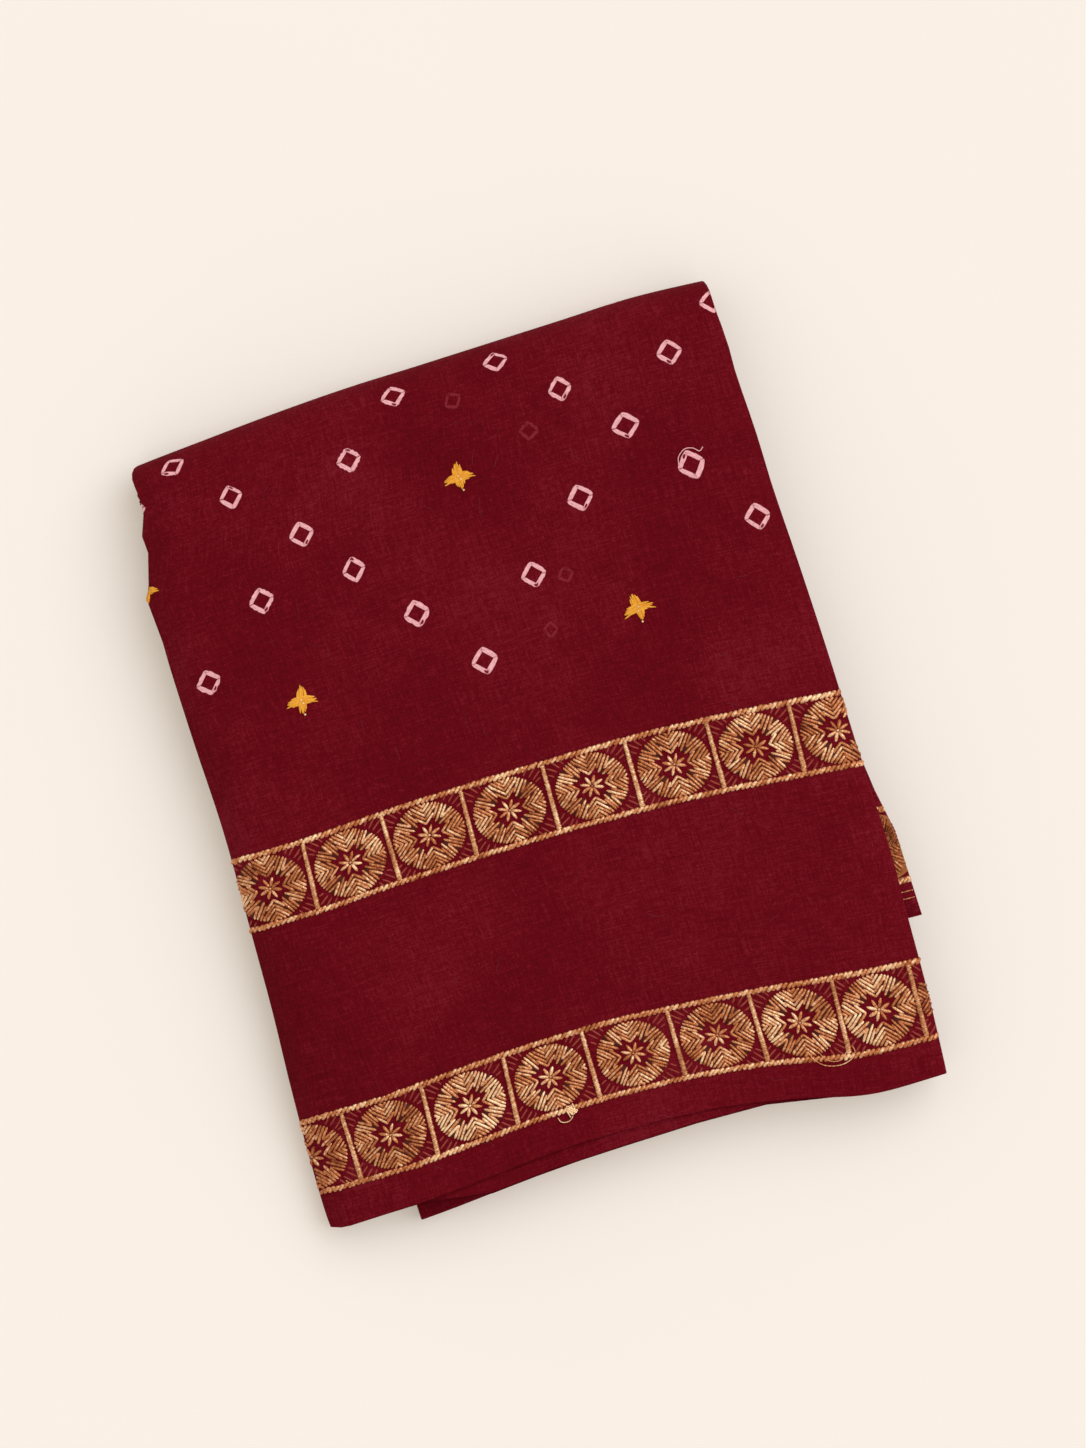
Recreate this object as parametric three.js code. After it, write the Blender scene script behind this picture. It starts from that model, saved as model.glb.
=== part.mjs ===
// A cotton saree folded flat, as it lies on a shelf. It is one length of cloth and so one solid.
// The cloth is doubled across its width, which brings its two woven edges near each other. The
// doubled strip is folded back and forth along its length into a stack of panels, and the stack is
// folded once over itself, so that an upper half lies on a lower half and the back is one thick fold.
// +X runs along the woven borders, +Y towards the back fold and +Z up, in millimetres.
import * as THREE from 'three';

// The modelled cloth is thicker than the woven one, and a modelled panel stands for five real ones.
const CLOTH = 1.0; // thickness of one layer
const PITCH = 1.4; // from one layer to the next, with a little air between them
const PANEL = 2 * PITCH; // from one doubled panel to the next

// A row for each panel, in the order of the cloth's length. place counts down from the top of the
// upper half. tuck is how far its front edges lie behind those of the top panel.
const PANELS = [
  { place: 1, tuck: 2.4 },
  { place: 0, tuck: 0 },
  { place: 2, tuck: 1.2 },
  { place: 3, tuck: 3.0 },
  { place: 4, tuck: 1.8 },
];
// A row for each side fold between those panels. inset is how far it lies inside the outline.
const SIDE_FOLDS = [
  { side: 'right', inset: 0 },
  { side: 'left', inset: 0 },
  { side: 'right', inset: 1.0 },
  { side: 'left', inset: 1.6 },
];
const END_INSET = 14; // the cloth's two raw ends are tucked at least this far short of the sides

const HALF = PANELS.length * PANEL; // thickness of one half of the folded stack
const BACK_RUN = 268; // from the front edge of the upper half to where the back fold starts
const LOWER_RUN = BACK_RUN + Math.PI * HALF; // to where the back fold ends
const FRONT_RUN = LOWER_RUN + 274; // to the front edge of the lower half
const INNER_EDGE_RUN = 54; // the inner sheet stops this short of the front edge of the upper half

// The folded sides, a row for each wave. run is the distance from the front edge of the upper half,
// over the back fold and forward again underneath.
const SIDES = [
  { run: 0, left: -111.4, right: 113.8 },
  { run: 6, left: -113.3, right: 113.9 },
  { run: 28, left: -114.7, right: 114.6 },
  { run: INNER_EDGE_RUN, left: -114.5, right: 114.7 },
  { run: 80, left: -113.9, right: 114.8 },
  { run: 106, left: -114.0, right: 113.4 },
  { run: 147, left: -113.6, right: 111.7 },
  { run: 180, left: -115.4, right: 109.7 },
  { run: 208, left: -116.6, right: 107.8 },
  { run: 223, left: -117.4, right: 107.2 },
  { run: 232, left: -119.0, right: 106.8 },
  { run: 242, left: -116.1, right: 106.0 },
  { run: 254, left: -114.4, right: 104.6 },
  { run: 260, left: -113.6, right: 105.0 },
  { run: 265, left: -111.8, right: 103.7 },
  { run: 275, left: -111.6, right: 104.2 },
  { run: 284, left: -113.0, right: 103.6 },
  { run: 290, left: -111.6, right: 102.4 },
  { run: 301, left: -110.6, right: 102.6 },
  { run: LOWER_RUN, left: -110.2, right: 103.0 },
  { run: 380, left: -103.4, right: 105.6 },
  { run: 450, left: -95.8, right: 108.4 },
  { run: 530, left: -87.0, right: 111.2 },
  { run: FRONT_RUN, left: -80.9, right: 112.9 },
];

// Lines that run from side to side. back is how far back the line lies at nine even stations across.
// At the back fold it is where the turn is centred.
const CENTRE_OF_TURN = [121.6, 124.3, 127.2, 128.9, 130.1, 131.4, 132.8, 133.8, 133.7];
const LINES = [
  {
    name: 'upper front edge',
    run: 0,
    back: [-146.4, -146.2, -143.6, -140.5, -139.5, -140.2, -144.0, -149.2, -147.5],
  },
  {
    name: 'far side of the lower gold strip',
    run: 40,
    back: [-106.4, -105.2, -102.6, -100.6, -99.6, -100.7, -102.5, -105.0, -107.1],
  },
  {
    name: 'far side of the upper gold strip',
    run: 136.5,
    back: [-9.5, -8.8, -6.6, -5.2, -4.2, -3.5, -3.8, -5.2, -7.1],
  },
  { name: 'start of the back fold', run: BACK_RUN, back: CENTRE_OF_TURN },
  { name: 'end of the back fold', run: LOWER_RUN, back: CENTRE_OF_TURN },
  {
    name: 'lower front edge',
    run: FRONT_RUN,
    back: [-151.9, -148.6, -146.0, -144.6, -143.3, -142.9, -144.0, -147.0, -145.5],
  },
];

// One fold of the inner sheet sticks out at the right, most at its cut corner.
const PEEK_FOLD = 2; // its row in SIDE_FOLDS
const PEEK = [
  { run: INNER_EDGE_RUN, out: 5.5 },
  { run: 67, out: 4.4 },
  { run: 94, out: 3.2 },
  { run: 106, out: 1.2 },
  { run: 124, out: 0 },
];
const PEEK_FADE = 0.35; // the share of the panel's width over which it dies out

// The stack is thickest in the middle and pressed thinner towards its sides.
const HALF_LENGTH = 147; // from the middle of the stack to its front
const MID_PRESS = 0.98;
const SIDE_PRESS = 0.92;
const CREASES = { height: 0.5, across: 74, along: 58, slant: 0.4 }; // low waves and their lengths
const FRONT_DROP = { depth: 2.5, reach: 7 }; // the top sags where the inner sheet is missing
// The corner that reaches past the lower half hangs down, from `rest` millimetres inside its side.
const OVERHANG = { drop: 9, reach: 32, power: 1.5, rest: 2, most: 1.05 };

const STRAIGHT_STEPS = 4; // facets along each panel, between its two end facets
const FOLD_STEPS = 4; // facets around each side fold
const HAIRPIN_STEPS = 4; // facets around the fold that joins the two sheets
const TUCK_FADE = 90; // how far from the front edge the panels come back into line

const clamp = THREE.MathUtils.clamp;
const smooth = (from, to, at) => THREE.MathUtils.smoothstep(at, from, to);

// A smooth curve through the rows of a table: cubic pieces whose slope at each row is that of the
// line between its two neighbours.
function through(stations, values, at) {
  const last = stations.length - 1;
  const here = clamp(at, stations[0], stations[last]);
  let i = 0;
  while (i < last - 1 && here > stations[i + 1]) i += 1;
  const slope = (j) => {
    const a = Math.max(j - 1, 0);
    const b = Math.min(j + 1, last);
    return (values[b] - values[a]) / (stations[b] - stations[a]);
  };
  const span = stations[i + 1] - stations[i];
  const t = (here - stations[i]) / span;
  const rise = values[i + 1] - values[i];
  const bend = t * (1 - t);
  return values[i] + rise * t * t * (3 - 2 * t)
    + span * bend * ((1 - t) * slope(i) - t * slope(i + 1));
}

const column = (rows, name) => rows.map((row) => row[name]);
const lookUp = (rows, name, run) => through(column(rows, 'run'), column(rows, name), run);

// Straight lines between the rows of a table.
function between(stations, values, at) {
  let i = 0;
  while (i < stations.length - 2 && at > stations[i + 1]) i += 1;
  const t = clamp((at - stations[i]) / (stations[i + 1] - stations[i]), 0, 1);
  return values[i] + (values[i + 1] - values[i]) * t;
}

// How far back a point lies at a distance along the run and a share of the way from left to right.
function level(run, share) {
  const even = LINES[0].back.map((_, i) => i / (LINES[0].back.length - 1));
  const across = LINES.map((line) => through(even, line.back, clamp(share, 0, 1)));
  return between(column(LINES, 'run'), across, run);
}

// The left side of the lower half, below a point that far back.
function lowerLeft(y) {
  const run = clamp(LOWER_RUN + CENTRE_OF_TURN[0] - y, LOWER_RUN, FRONT_RUN);
  return lookUp(SIDES, 'left', run);
}

// How far short of the left side every panel has its first bend: on the upper half that is where
// the lower half stops carrying it.
function firstBend(run, left) {
  const carried = run < BACK_RUN ? lowerLeft(level(run, 0)) + OVERHANG.rest - left : 0;
  return Math.max(END_INSET, carried);
}

// The doubled strip seen end on: a path of points, each with its depth below the top, the way its
// outer sheet faces, and where it lies from left to right: a share of the way between two spots. A
// spot is a distance inward from a side, or that side's first bend.
function stripPath() {
  const path = [];
  const depth = (i) => (PANELS[i].place + 0.5) * PANEL;
  const ends = [
    { side: 'left', bend: true },
    ...SIDE_FOLDS.map((fold, i) => {
      const radius = Math.abs(depth(i + 1) - depth(i)) / 2;
      return { side: fold.side, inward: radius + (PITCH + CLOTH) / 2 + fold.inset, radius };
    }),
    { side: 'right', bend: true },
  ];
  const spot = (end, outward) => ({ side: end.side, inward: end.inward - outward });
  let facing = 1; // the outer sheet faces down in the first panel, because the next lies over it
  PANELS.forEach((panel, i) => {
    const near = { side: ends[i].side, bend: true };
    const far = { side: ends[i + 1].side, bend: true };
    const straight = (from, to, share, peek) => path.push({ depth: depth(i), from, to, share,
      normal: [0, facing], tuck: panel.tuck, peek });
    const start = spot(ends[i], 0);
    const end = ends[i + 1];
    const stop = spot(end, 0);
    if (i > 0) straight(start, start, 0, i === PEEK_FOLD + 1 ? 1 : 0);
    for (let step = 0; step <= STRAIGHT_STEPS; step += 1) {
      const share = step / STRAIGHT_STEPS;
      let peek = 0;
      if (i === PEEK_FOLD) peek = 1 - smooth(0, PEEK_FADE, 1 - share);
      if (i === PEEK_FOLD + 1) peek = 1 - smooth(0, PEEK_FADE, share);
      straight(near, far, share, peek);
    }
    if (i === PANELS.length - 1) return;
    straight(stop, stop, 0, i === PEEK_FOLD ? 1 : 0);
    const down = Math.sign(depth(i + 1) - depth(i));
    const outward = facing === -down ? 1 : -1; // whether the outer sheet is outside this fold
    for (let step = 1; step < FOLD_STEPS; step += 1) {
      const angle = (Math.PI * step) / FOLD_STEPS;
      const out = Math.sin(angle);
      const deep = -down * Math.cos(angle);
      const here = spot(end, end.radius * out);
      const sideways = end.side === 'right' ? out : -out;
      path.push({ depth: (depth(i) + depth(i + 1)) / 2 + end.radius * deep, from: here, to: here,
        share: 0, normal: [outward * sideways, outward * deep], peek: i === PEEK_FOLD ? 1 : 0,
        tuck: THREE.MathUtils.lerp(panel.tuck, PANELS[i + 1].tuck, step / FOLD_STEPS) });
    }
    facing = outward * down;
  });
  return path;
}

// The doubled strip seen from its side: the outer sheet from its front edge over the back and
// forward underneath, the hairpin, and the inner sheet back again to its own front edge. offset is
// the distance from the middle of the strip, and reach how far the hairpin goes past the front.
function sheetPath() {
  const runs = column(SIDES, 'run');
  const outer = runs.map((run) => ({ run, offset: 1, reach: 0 }));
  const hairpin = [];
  for (let step = 1; step < HAIRPIN_STEPS; step += 1) {
    const angle = (Math.PI * step) / HAIRPIN_STEPS;
    hairpin.push({ run: FRONT_RUN, offset: Math.cos(angle), reach: Math.sin(angle) });
  }
  const inner = runs.filter((run) => run >= INNER_EDGE_RUN).reverse()
    .map((run) => ({ run, offset: -1, reach: 0 }));
  return [...outer, ...hairpin, ...inner];
}

// Where a point of the strip lies before the stack sags: across the strip at `strip`, along it at
// `sheet`, and `face` millimetres outside the middle of the cloth.
function laid(strip, sheet, face) {
  const left = lookUp(SIDES, 'left', sheet.run);
  const right = lookUp(SIDES, 'right', sheet.run);
  const sideways = (spot) => {
    if (spot.side === 'left') return left + (spot.bend ? firstBend(sheet.run, left) : spot.inward);
    return right - (spot.bend ? END_INSET : spot.inward);
  };
  const out = PITCH / 2 + face; // distance from the middle of the doubled strip
  const offset = out * sheet.offset;
  let x = THREE.MathUtils.lerp(sideways(strip.from), sideways(strip.to), strip.share);
  x += offset * strip.normal[0];
  const depth = strip.depth + offset * strip.normal[1];
  if (sheet.offset < 0 && sheet.run < PEEK[PEEK.length - 1].run && strip.peek > 0) {
    x += strip.peek * lookUp(PEEK, 'out', sheet.run);
  }
  const { run } = sheet;
  const angle = clamp((run - BACK_RUN) / HALF, 0, Math.PI);
  const near = Math.min(run, FRONT_RUN - run);
  const tucked = strip.tuck * (1 - smooth(0, TUCK_FADE, near));
  let y = level(run, (x - left) / (right - left)) + tucked;
  let z = 0;
  if (run <= BACK_RUN) {
    z = 2 * HALF - depth;
  } else if (run < LOWER_RUN) {
    y += (HALF - depth) * Math.sin(angle);
    z = HALF + (HALF - depth) * Math.cos(angle);
  } else {
    y -= out * sheet.reach;
    z = depth;
  }
  return { x, y, z, depth, run, angle, left, right };
}

// How far the stack is pressed down or sags at a laid point.
function sag({ x, y, z, depth, run, angle, left, right }) {
  const upper = (1 + Math.cos(angle)) / 2; // 1 in the upper half, 0 in the lower
  const across = clamp((2 * x - left - right) / (right - left), -1, 1);
  const along = clamp(y / HALF_LENGTH, -1, 1);
  const crown = (1 - across ** 4) * (1 - along ** 4);
  let press = SIDE_PRESS + (MID_PRESS - SIDE_PRESS) * crown;
  const wave = Math.sin((2 * Math.PI * x) / CREASES.across + 1)
    * Math.cos((2 * Math.PI * (y + CREASES.slant * x)) / CREASES.along);
  press += (CREASES.height / (2 * HALF)) * crown * wave;
  const lowest = (PITCH - CLOTH) / 2 + CLOTH / 2; // the middle of the lowest layer stays where it is
  let drop = (z - lowest) * (1 - press);
  if (run < BACK_RUN) {
    const missing = 1 - smooth(INNER_EDGE_RUN / 2, INNER_EDGE_RUN, run);
    drop += FRONT_DROP.depth * missing * clamp(1 - depth / FRONT_DROP.reach, 0, 1) ** 2;
  }
  const past = clamp((lowerLeft(y) - x) / OVERHANG.reach, 0, OVERHANG.most);
  drop += upper * OVERHANG.drop * past ** OVERHANG.power;
  return drop;
}

// One closed sheet: a grid of points on each face of the cloth, joined by a rim around its edge.
function foldedCloth() {
  const strips = stripPath();
  const sheets = sheetPath();
  const floor = (PITCH - CLOTH) / 2; // lifts the lowest face of the stack to zero
  const positions = [];
  const face = (half) => strips.forEach((strip) => sheets.forEach((sheet) => {
    const flat = laid(strip, sheet, half);
    const drop = sag(laid(strip, sheet, 0));
    positions.push(flat.x, flat.y, flat.z - drop - floor);
  }));
  face(CLOTH / 2);
  face(-CLOTH / 2);

  const rows = strips.length;
  const columns = sheets.length;
  const index = [];
  const quad = (a, b, c, d) => index.push(a, b, c, a, c, d);
  const outside = (i, j) => i * columns + j;
  const inside = (i, j) => rows * columns + outside(i, j);
  // Every layer is cut into triangles along the same slant, so that neighbours stay parallel.
  const step = (axis, from, to) => positions[3 * to + axis] - positions[3 * from + axis];
  const rises = (a, acrossNext, alongNext) => step(0, a, acrossNext) * step(1, a, alongNext) > 0;
  for (let i = 0; i < rows - 1; i += 1) {
    for (let j = 0; j < columns - 1; j += 1) {
      const corners = (at) => [at(i, j), at(i, j + 1), at(i + 1, j + 1), at(i + 1, j)];
      const [a, b, c, d] = corners(outside);
      const [e, f, g, h] = corners(inside);
      if (rises(a, d, b)) {
        quad(a, b, c, d);
        quad(e, h, g, f);
      } else {
        quad(b, c, d, a);
        quad(f, e, h, g);
      }
    }
  }
  const rim = (i, j, k, l) => quad(inside(i, j), inside(k, l), outside(k, l), outside(i, j));
  for (let j = 0; j < columns - 1; j += 1) {
    rim(0, j, 0, j + 1);
    rim(rows - 1, j + 1, rows - 1, j);
  }
  for (let i = 0; i < rows - 1; i += 1) {
    rim(i + 1, 0, i, 0);
    rim(i, columns - 1, i + 1, columns - 1);
  }
  const geometry = new THREE.BufferGeometry();
  geometry.setAttribute('position', new THREE.Float32BufferAttribute(positions, 3));
  geometry.setIndex(index);
  geometry.computeBoundingBox();
  const { x, y } = geometry.boundingBox.getCenter(new THREE.Vector3());
  return geometry.translate(-x, -y, 0); // the origin is below the middle of the stack
}

const cotton = new THREE.MeshStandardMaterial({ color: '#640a16', roughness: 0.85, metalness: 0 });
const saree = new THREE.Mesh(foldedCloth(), cotton);
saree.name = 'saree_cloth';

const group = new THREE.Group();
group.name = 'folded_saree';
group.add(saree);
export default group;
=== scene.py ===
# %% [markdown]
# A sungudi saree is one long cotton cloth with gold borders, tied and dyed dots and small embroidered
# stars. Here it lies folded, as on a shop shelf: doubled across its width, pleated back and forth
# along its length into a flat stack, and that stack folded once over itself.
# The cloth could be dropped on a block by simulation, but a neat stack is a matter of order, not of
# gravity, so the folds are worked out as a surface with numpy and the patterns are laid on top of it.
# The frame gives the size and place, and everything below is in millimetres until a mesh is made.

import bpy
import numpy as np
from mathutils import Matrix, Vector


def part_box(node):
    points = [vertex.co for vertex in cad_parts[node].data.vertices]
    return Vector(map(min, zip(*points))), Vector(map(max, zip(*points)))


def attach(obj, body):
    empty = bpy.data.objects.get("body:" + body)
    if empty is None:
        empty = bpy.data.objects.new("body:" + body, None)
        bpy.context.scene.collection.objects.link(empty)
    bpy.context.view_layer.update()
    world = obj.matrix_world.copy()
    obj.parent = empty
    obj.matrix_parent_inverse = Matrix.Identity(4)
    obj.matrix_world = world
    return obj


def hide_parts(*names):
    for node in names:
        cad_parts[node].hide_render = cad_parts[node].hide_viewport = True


MM = 0.001
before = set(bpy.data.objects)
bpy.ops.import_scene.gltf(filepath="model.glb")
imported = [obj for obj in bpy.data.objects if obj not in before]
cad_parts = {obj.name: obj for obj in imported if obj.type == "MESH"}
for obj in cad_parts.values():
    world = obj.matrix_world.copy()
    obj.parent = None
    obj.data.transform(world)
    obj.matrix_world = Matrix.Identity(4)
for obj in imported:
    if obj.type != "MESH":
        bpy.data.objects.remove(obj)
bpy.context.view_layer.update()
node_low, node_high = (np.array(corner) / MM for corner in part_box("saree_cloth"))
rng = np.random.default_rng(7)
print("folded saree in mm:", np.round(node_high - node_low, 1))

# %% [markdown]
# The camera looks straight down, as one photographs goods laid out on a table. A long lens from over
# two metres away keeps the sides of the stack nearly upright. It is turned a little, so that the stack
# lies askew in the picture.

# %% Camera
CAMERA_SPOT = (6.05, 10.65)
CAMERA_ABOVE = 2586.0
CAMERA_TURN = -15.0
LENS = 180.0

camera_data = bpy.data.cameras.new("camera")
camera_data.lens = LENS
camera_data.sensor_width = 36.0
camera = bpy.data.objects.new("camera", camera_data)
camera.location = (CAMERA_SPOT[0] * MM, CAMERA_SPOT[1] * MM, (node_high[2] + CAMERA_ABOVE) * MM)
camera.rotation_euler = (0, 0, np.radians(CAMERA_TURN))
bpy.context.scene.collection.objects.link(camera)
bpy.context.scene.camera = camera
print("camera at", np.round(camera.location, 3))

# %% [markdown]
# The real saree is 5.5 m long and 1.12 m wide. Pleated into panels about 225 mm wide it makes 25
# panels of doubled cloth, and the stack folded over itself is 100 layers high. A layer is modelled
# a little thinner than its share of the height, so that neighbours never touch.

# %% Sizes of the fold
CLOTH_WIDTH = 1120.0
PANEL_COUNT = 25
HALF = 14.0
PANEL = HALF / PANEL_COUNT
PITCH = PANEL / 2
CLOTH = 0.17
END_INSET = 14.0
BACK_RUN = 268.0
LOWER_RUN = BACK_RUN + np.pi * HALF
FRONT_RUN = LOWER_RUN + 274.0
INNER_EDGE_RUN = 54.0
print("layers:", 4 * PANEL_COUNT, "pitch in mm:", PITCH)

# %% [markdown]
# Two kinds of smooth curve are enough for all that follows: one that passes through the rows of a
# table, and one that rises once from 0 to 1.

# %% Smooth curves


def through(stations, values, at):
    """A smooth curve through a table: on each span, value + rise * t^2 (3 - 2t) + span * t (1 - t)
    times ((1 - t) * slope at its start - t * slope at its end), t going from 0 to 1 along the span.
    The slope at a row is that of the line between its two neighbours."""
    stations, values = np.asarray(stations, float), np.asarray(values, float)
    slope = np.empty_like(values)
    slope[1:-1] = (values[2:] - values[:-2]) / (stations[2:] - stations[:-2])
    slope[0] = (values[1] - values[0]) / (stations[1] - stations[0])
    slope[-1] = (values[-1] - values[-2]) / (stations[-1] - stations[-2])
    here = np.clip(at, stations[0], stations[-1])
    i = np.clip(np.searchsorted(stations, here) - 1, 0, len(stations) - 2)
    span = stations[i + 1] - stations[i]
    t = (here - stations[i]) / span
    bent = (1 - t) * slope[i] - t * slope[i + 1]
    return values[i] + (values[i + 1] - values[i]) * t * t * (3 - 2 * t) + span * t * (1 - t) * bent


def smooth(low, high, at):
    """Rises from 0 at low to 1 at high as 3t^2 - 2t^3."""
    t = np.clip((at - low) / (high - low), 0, 1)
    return t * t * (3 - 2 * t)


print("half way up a smooth rise:", smooth(0, 1, 0.5))

# %% [markdown]
# Nobody folds cloth along a ruler. The stack's sides wave in and out, its front and back edges bow,
# and these few tables hold where they run: for the sides by the distance walked over the stack, for
# the edges at nine even stations from left to right. Smooth curves through the tables do the rest,
# which is easier to read and change than a dense outline.

# %% Outline tables
SIDES = np.array([
    # run, left, right
    (0, -114.2, 113.8), (6, -114.7, 114.1), (28, -115.1, 114.8), (54, -114.8, 114.7),
    (80, -114.1, 114.8), (106, -114.1, 113.4), (147, -114.3, 111.7), (180, -116.2, 109.8),
    (208, -117.5, 107.8), (223, -117.9, 107.3), (232, -119.4, 106.8), (242, -116.3, 106.0),
    (251, -113.9, 105.5), (257, -114.9, 105.6), (263, -112.5, 105.2), (270, -112.3, 104.5),
    (280, -113.2, 104.2), (290, -111.4, 103.3), (301, -111.8, 104.0), (LOWER_RUN, -111.4, 104.6),
    (380, -103.4, 106.0), (450, -95.8, 108.6), (530, -87.0, 111.4), (565, -82.9, 112.6),
    (FRONT_RUN, -82.0, 113.1),
])
TURN = (121.8, 124.6, 127.3, 129.4, 130.5, 131.8, 133.0, 134.3, 133.6)
LINES = {
    # run: how far back the line lies at nine even stations across
    0: (-146.4, -146.2, -143.6, -140.5, -139.5, -140.2, -144.0, -149.9, -149.8),
    40: (-106.4, -105.2, -102.6, -100.6, -99.6, -100.7, -102.5, -105.0, -107.1),
    136.5: (-9.5, -8.8, -6.6, -5.2, -4.2, -3.5, -3.8, -5.2, -7.1),
    BACK_RUN: TURN,
    LOWER_RUN: TURN,
    FRONT_RUN: (-152.4, -150.0, -147.2, -145.8, -144.5, -144.0, -144.6, -147.0, -145.5),
}


def left_side(run):
    """X of the stack's left side at a run: a smooth curve through the table's second column."""
    return through(SIDES[:, 0], SIDES[:, 1], run)


def right_side(run):
    """X of its right side: the same through the third column."""
    return through(SIDES[:, 0], SIDES[:, 2], run)


def level(run, share):
    """How far back a point lies: each line of the table is a smooth curve from side to side, and
    between two lines the way back grows evenly with the run."""
    run, share = np.broadcast_arrays(run, share)
    runs = np.array(list(LINES))
    stations = np.linspace(0, 1, len(TURN))
    across = np.stack([through(stations, line, np.clip(share, 0, 1)) for line in LINES.values()])
    i = np.clip(np.searchsorted(runs, run) - 1, 0, len(runs) - 2)
    t = np.clip((run - runs[i]) / (runs[i + 1] - runs[i]), 0, 1)
    before = np.take_along_axis(across, i[None], 0)[0]
    after = np.take_along_axis(across, i[None] + 1, 0)[0]
    return before + (after - before) * t


print("width at the front in mm:", right_side(0.0) - left_side(0.0))

# %% [markdown]
# Folds never line up exactly. Each panel's front edges are tucked in by their own small amount, and
# each side fold stops short of the side by its own. The first panel lies second from the top, because
# the last thing a folder does is to lay the best face over the raw end. The two panels right under
# the top keep close to its front edge, and the deeper ones reach nearly as far as the lower half does.

# %% Panels and their small differences
PEEK_FOLD = 6
PEEK_INSET = 0.3
NEAR_PLACES, NEAR_SPREAD, DEEP_SPREAD, SPREAD_VARIES = 3, 0.08, 0.92, 0.04
UPPER_TUCK, LOWER_TUCK, FOLD_INSET = 0.7, 0.9, 1.1

places = np.r_[1, 0, np.arange(2, PANEL_COUNT)]
depths = (places + 0.5) * PANEL
upper_tucks = rng.uniform(0.0, UPPER_TUCK, PANEL_COUNT)
lower_tucks = rng.uniform(0.0, LOWER_TUCK, PANEL_COUNT)
spreads = np.where(places < NEAR_PLACES, NEAR_SPREAD, DEEP_SPREAD)
spreads = spreads + rng.uniform(-SPREAD_VARIES, SPREAD_VARIES, PANEL_COUNT)
for differences in (upper_tucks, lower_tucks, spreads):
    differences[1] = 0.0
insets = rng.uniform(0.0, FOLD_INSET, PANEL_COUNT - 1)
insets[:2] = 0.0
insets[PEEK_FOLD] = PEEK_INSET
print("depths of the first panels in mm:", depths[:4])

# %% [markdown]
# Seen end on, the doubled strip is a snake: a straight panel, a small round fold at the side, the next
# panel, and so on. One fold of the inner sheet sticks out at the right, and that fades along its panel.
# Each row below is one thread line along the stack: how much it follows the left side, the right side
# and the bend by the left side, a fixed shift, its depth, the way its outer sheet faces, and what it
# takes from its panel's small differences.

# %% Rows of a panel, seen end on
SIDE_STATIONS = (0.0, 1.2, 3.0, 6.5)
STRAIGHT_STEPS = 7
TOP_STEPS = 50
PEEK_FADE = 80.0
STRAIGHT = 200.0

ROW = [("left", float), ("right", float), ("shift", float), ("bend", float), ("depth", float),
       ("aside", float), ("deep", float), ("spread", float), ("upper_tuck", float),
       ("lower_tuck", float), ("peek", float), ("top", float)]


def end_of_panel(i):
    """How far inside the side a panel ends where fold i starts: half the step to the next panel's
    depth, half of the doubled cloth's thickness and the fold's own inset."""
    return abs(depths[i + 1] - depths[i]) / 2 + (PITCH + CLOTH) / 2 + insets[i]


def panel_rows(i, facing):
    """Thread lines of panel i: some near the fold it comes from, even ones across it, and some near
    the fold it goes on to. Peek is 1 at the fold that sticks out and falls evenly to 0."""
    rightward = i % 2 == 0
    peek_in, peek_out = float(i == PEEK_FOLD + 1), float(i == PEEK_FOLD)
    own = (spreads[i], upper_tucks[i], lower_tucks[i])
    is_top = float(i == 1)
    steps = TOP_STEPS if is_top else STRAIGHT_STEPS
    near = [(end_of_panel(i - 1), beyond, not rightward, peek_in) for beyond in SIDE_STATIONS if i > 0]
    if i < PANEL_COUNT - 1:
        near += [(end_of_panel(i), beyond, rightward, peek_out) for beyond in SIDE_STATIONS[::-1]]
    rows = []
    for end, beyond, on_right, peek in near:
        shift = -(end + beyond) if on_right else end + beyond
        rows.append((float(not on_right), float(on_right), shift, 0, depths[i], 0.0, facing, *own,
                     peek * (1 - beyond / PEEK_FADE), is_top))
    straight = []
    for share in np.linspace(0, 1, steps + 1):
        across = share if rightward else 1 - share
        from_fold = (1 - share if peek_out else share) * STRAIGHT + END_INSET
        peek = (peek_in + peek_out) * np.clip(1 - from_fold / PEEK_FADE, 0, 1)
        straight.append((1 - across, across, -across * END_INSET, 1 - across, depths[i], 0.0, facing,
                         *own, peek, is_top))
    before = len(SIDE_STATIONS) if i > 0 else 0
    return rows[:before] + straight + rows[before:]


print("thread lines of the top panel:", len(panel_rows(1, 1)))

# %% Rows of the side folds, and the whole strip
FOLD_STEPS = 4


def fold_rows(i, facing):
    """Thread lines round the fold after panel i, and the way the next panel faces. They lie on a half
    circle from the panel's depth to the next one's. What belongs to a panel passes over evenly."""
    down = np.sign(depths[i + 1] - depths[i])
    outside_in = 1 if facing == -down else -1
    radius = abs(depths[i + 1] - depths[i]) / 2
    on_right = float(i % 2 == 0)
    sign = 2 * on_right - 1
    rows = []
    for t in np.arange(1, FOLD_STEPS) / FOLD_STEPS:
        sine, cosine = np.sin(np.pi * t), np.cos(np.pi * t)
        shift = sign * (radius * sine - end_of_panel(i))
        depth = (depths[i] + depths[i + 1]) / 2 - down * radius * cosine
        passed = [own[i] + (own[i + 1] - own[i]) * t for own in (spreads, upper_tucks, lower_tucks)]
        top = float(i < 2) * (1 - t if i else t)
        rows.append((1 - on_right, on_right, shift, 0, depth, outside_in * sign * sine,
                     -outside_in * down * cosine, *passed, float(i == PEEK_FOLD), top))
    return rows, int(outside_in * down)


def strip_rows():
    """All thread lines in the order of the cloth's length."""
    rows, facing = [], 1
    for i in range(PANEL_COUNT):
        rows += panel_rows(i, facing)
        if i < PANEL_COUNT - 1:
            fold, facing = fold_rows(i, facing)
            rows += fold
    return np.array(rows, dtype=ROW)


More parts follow.
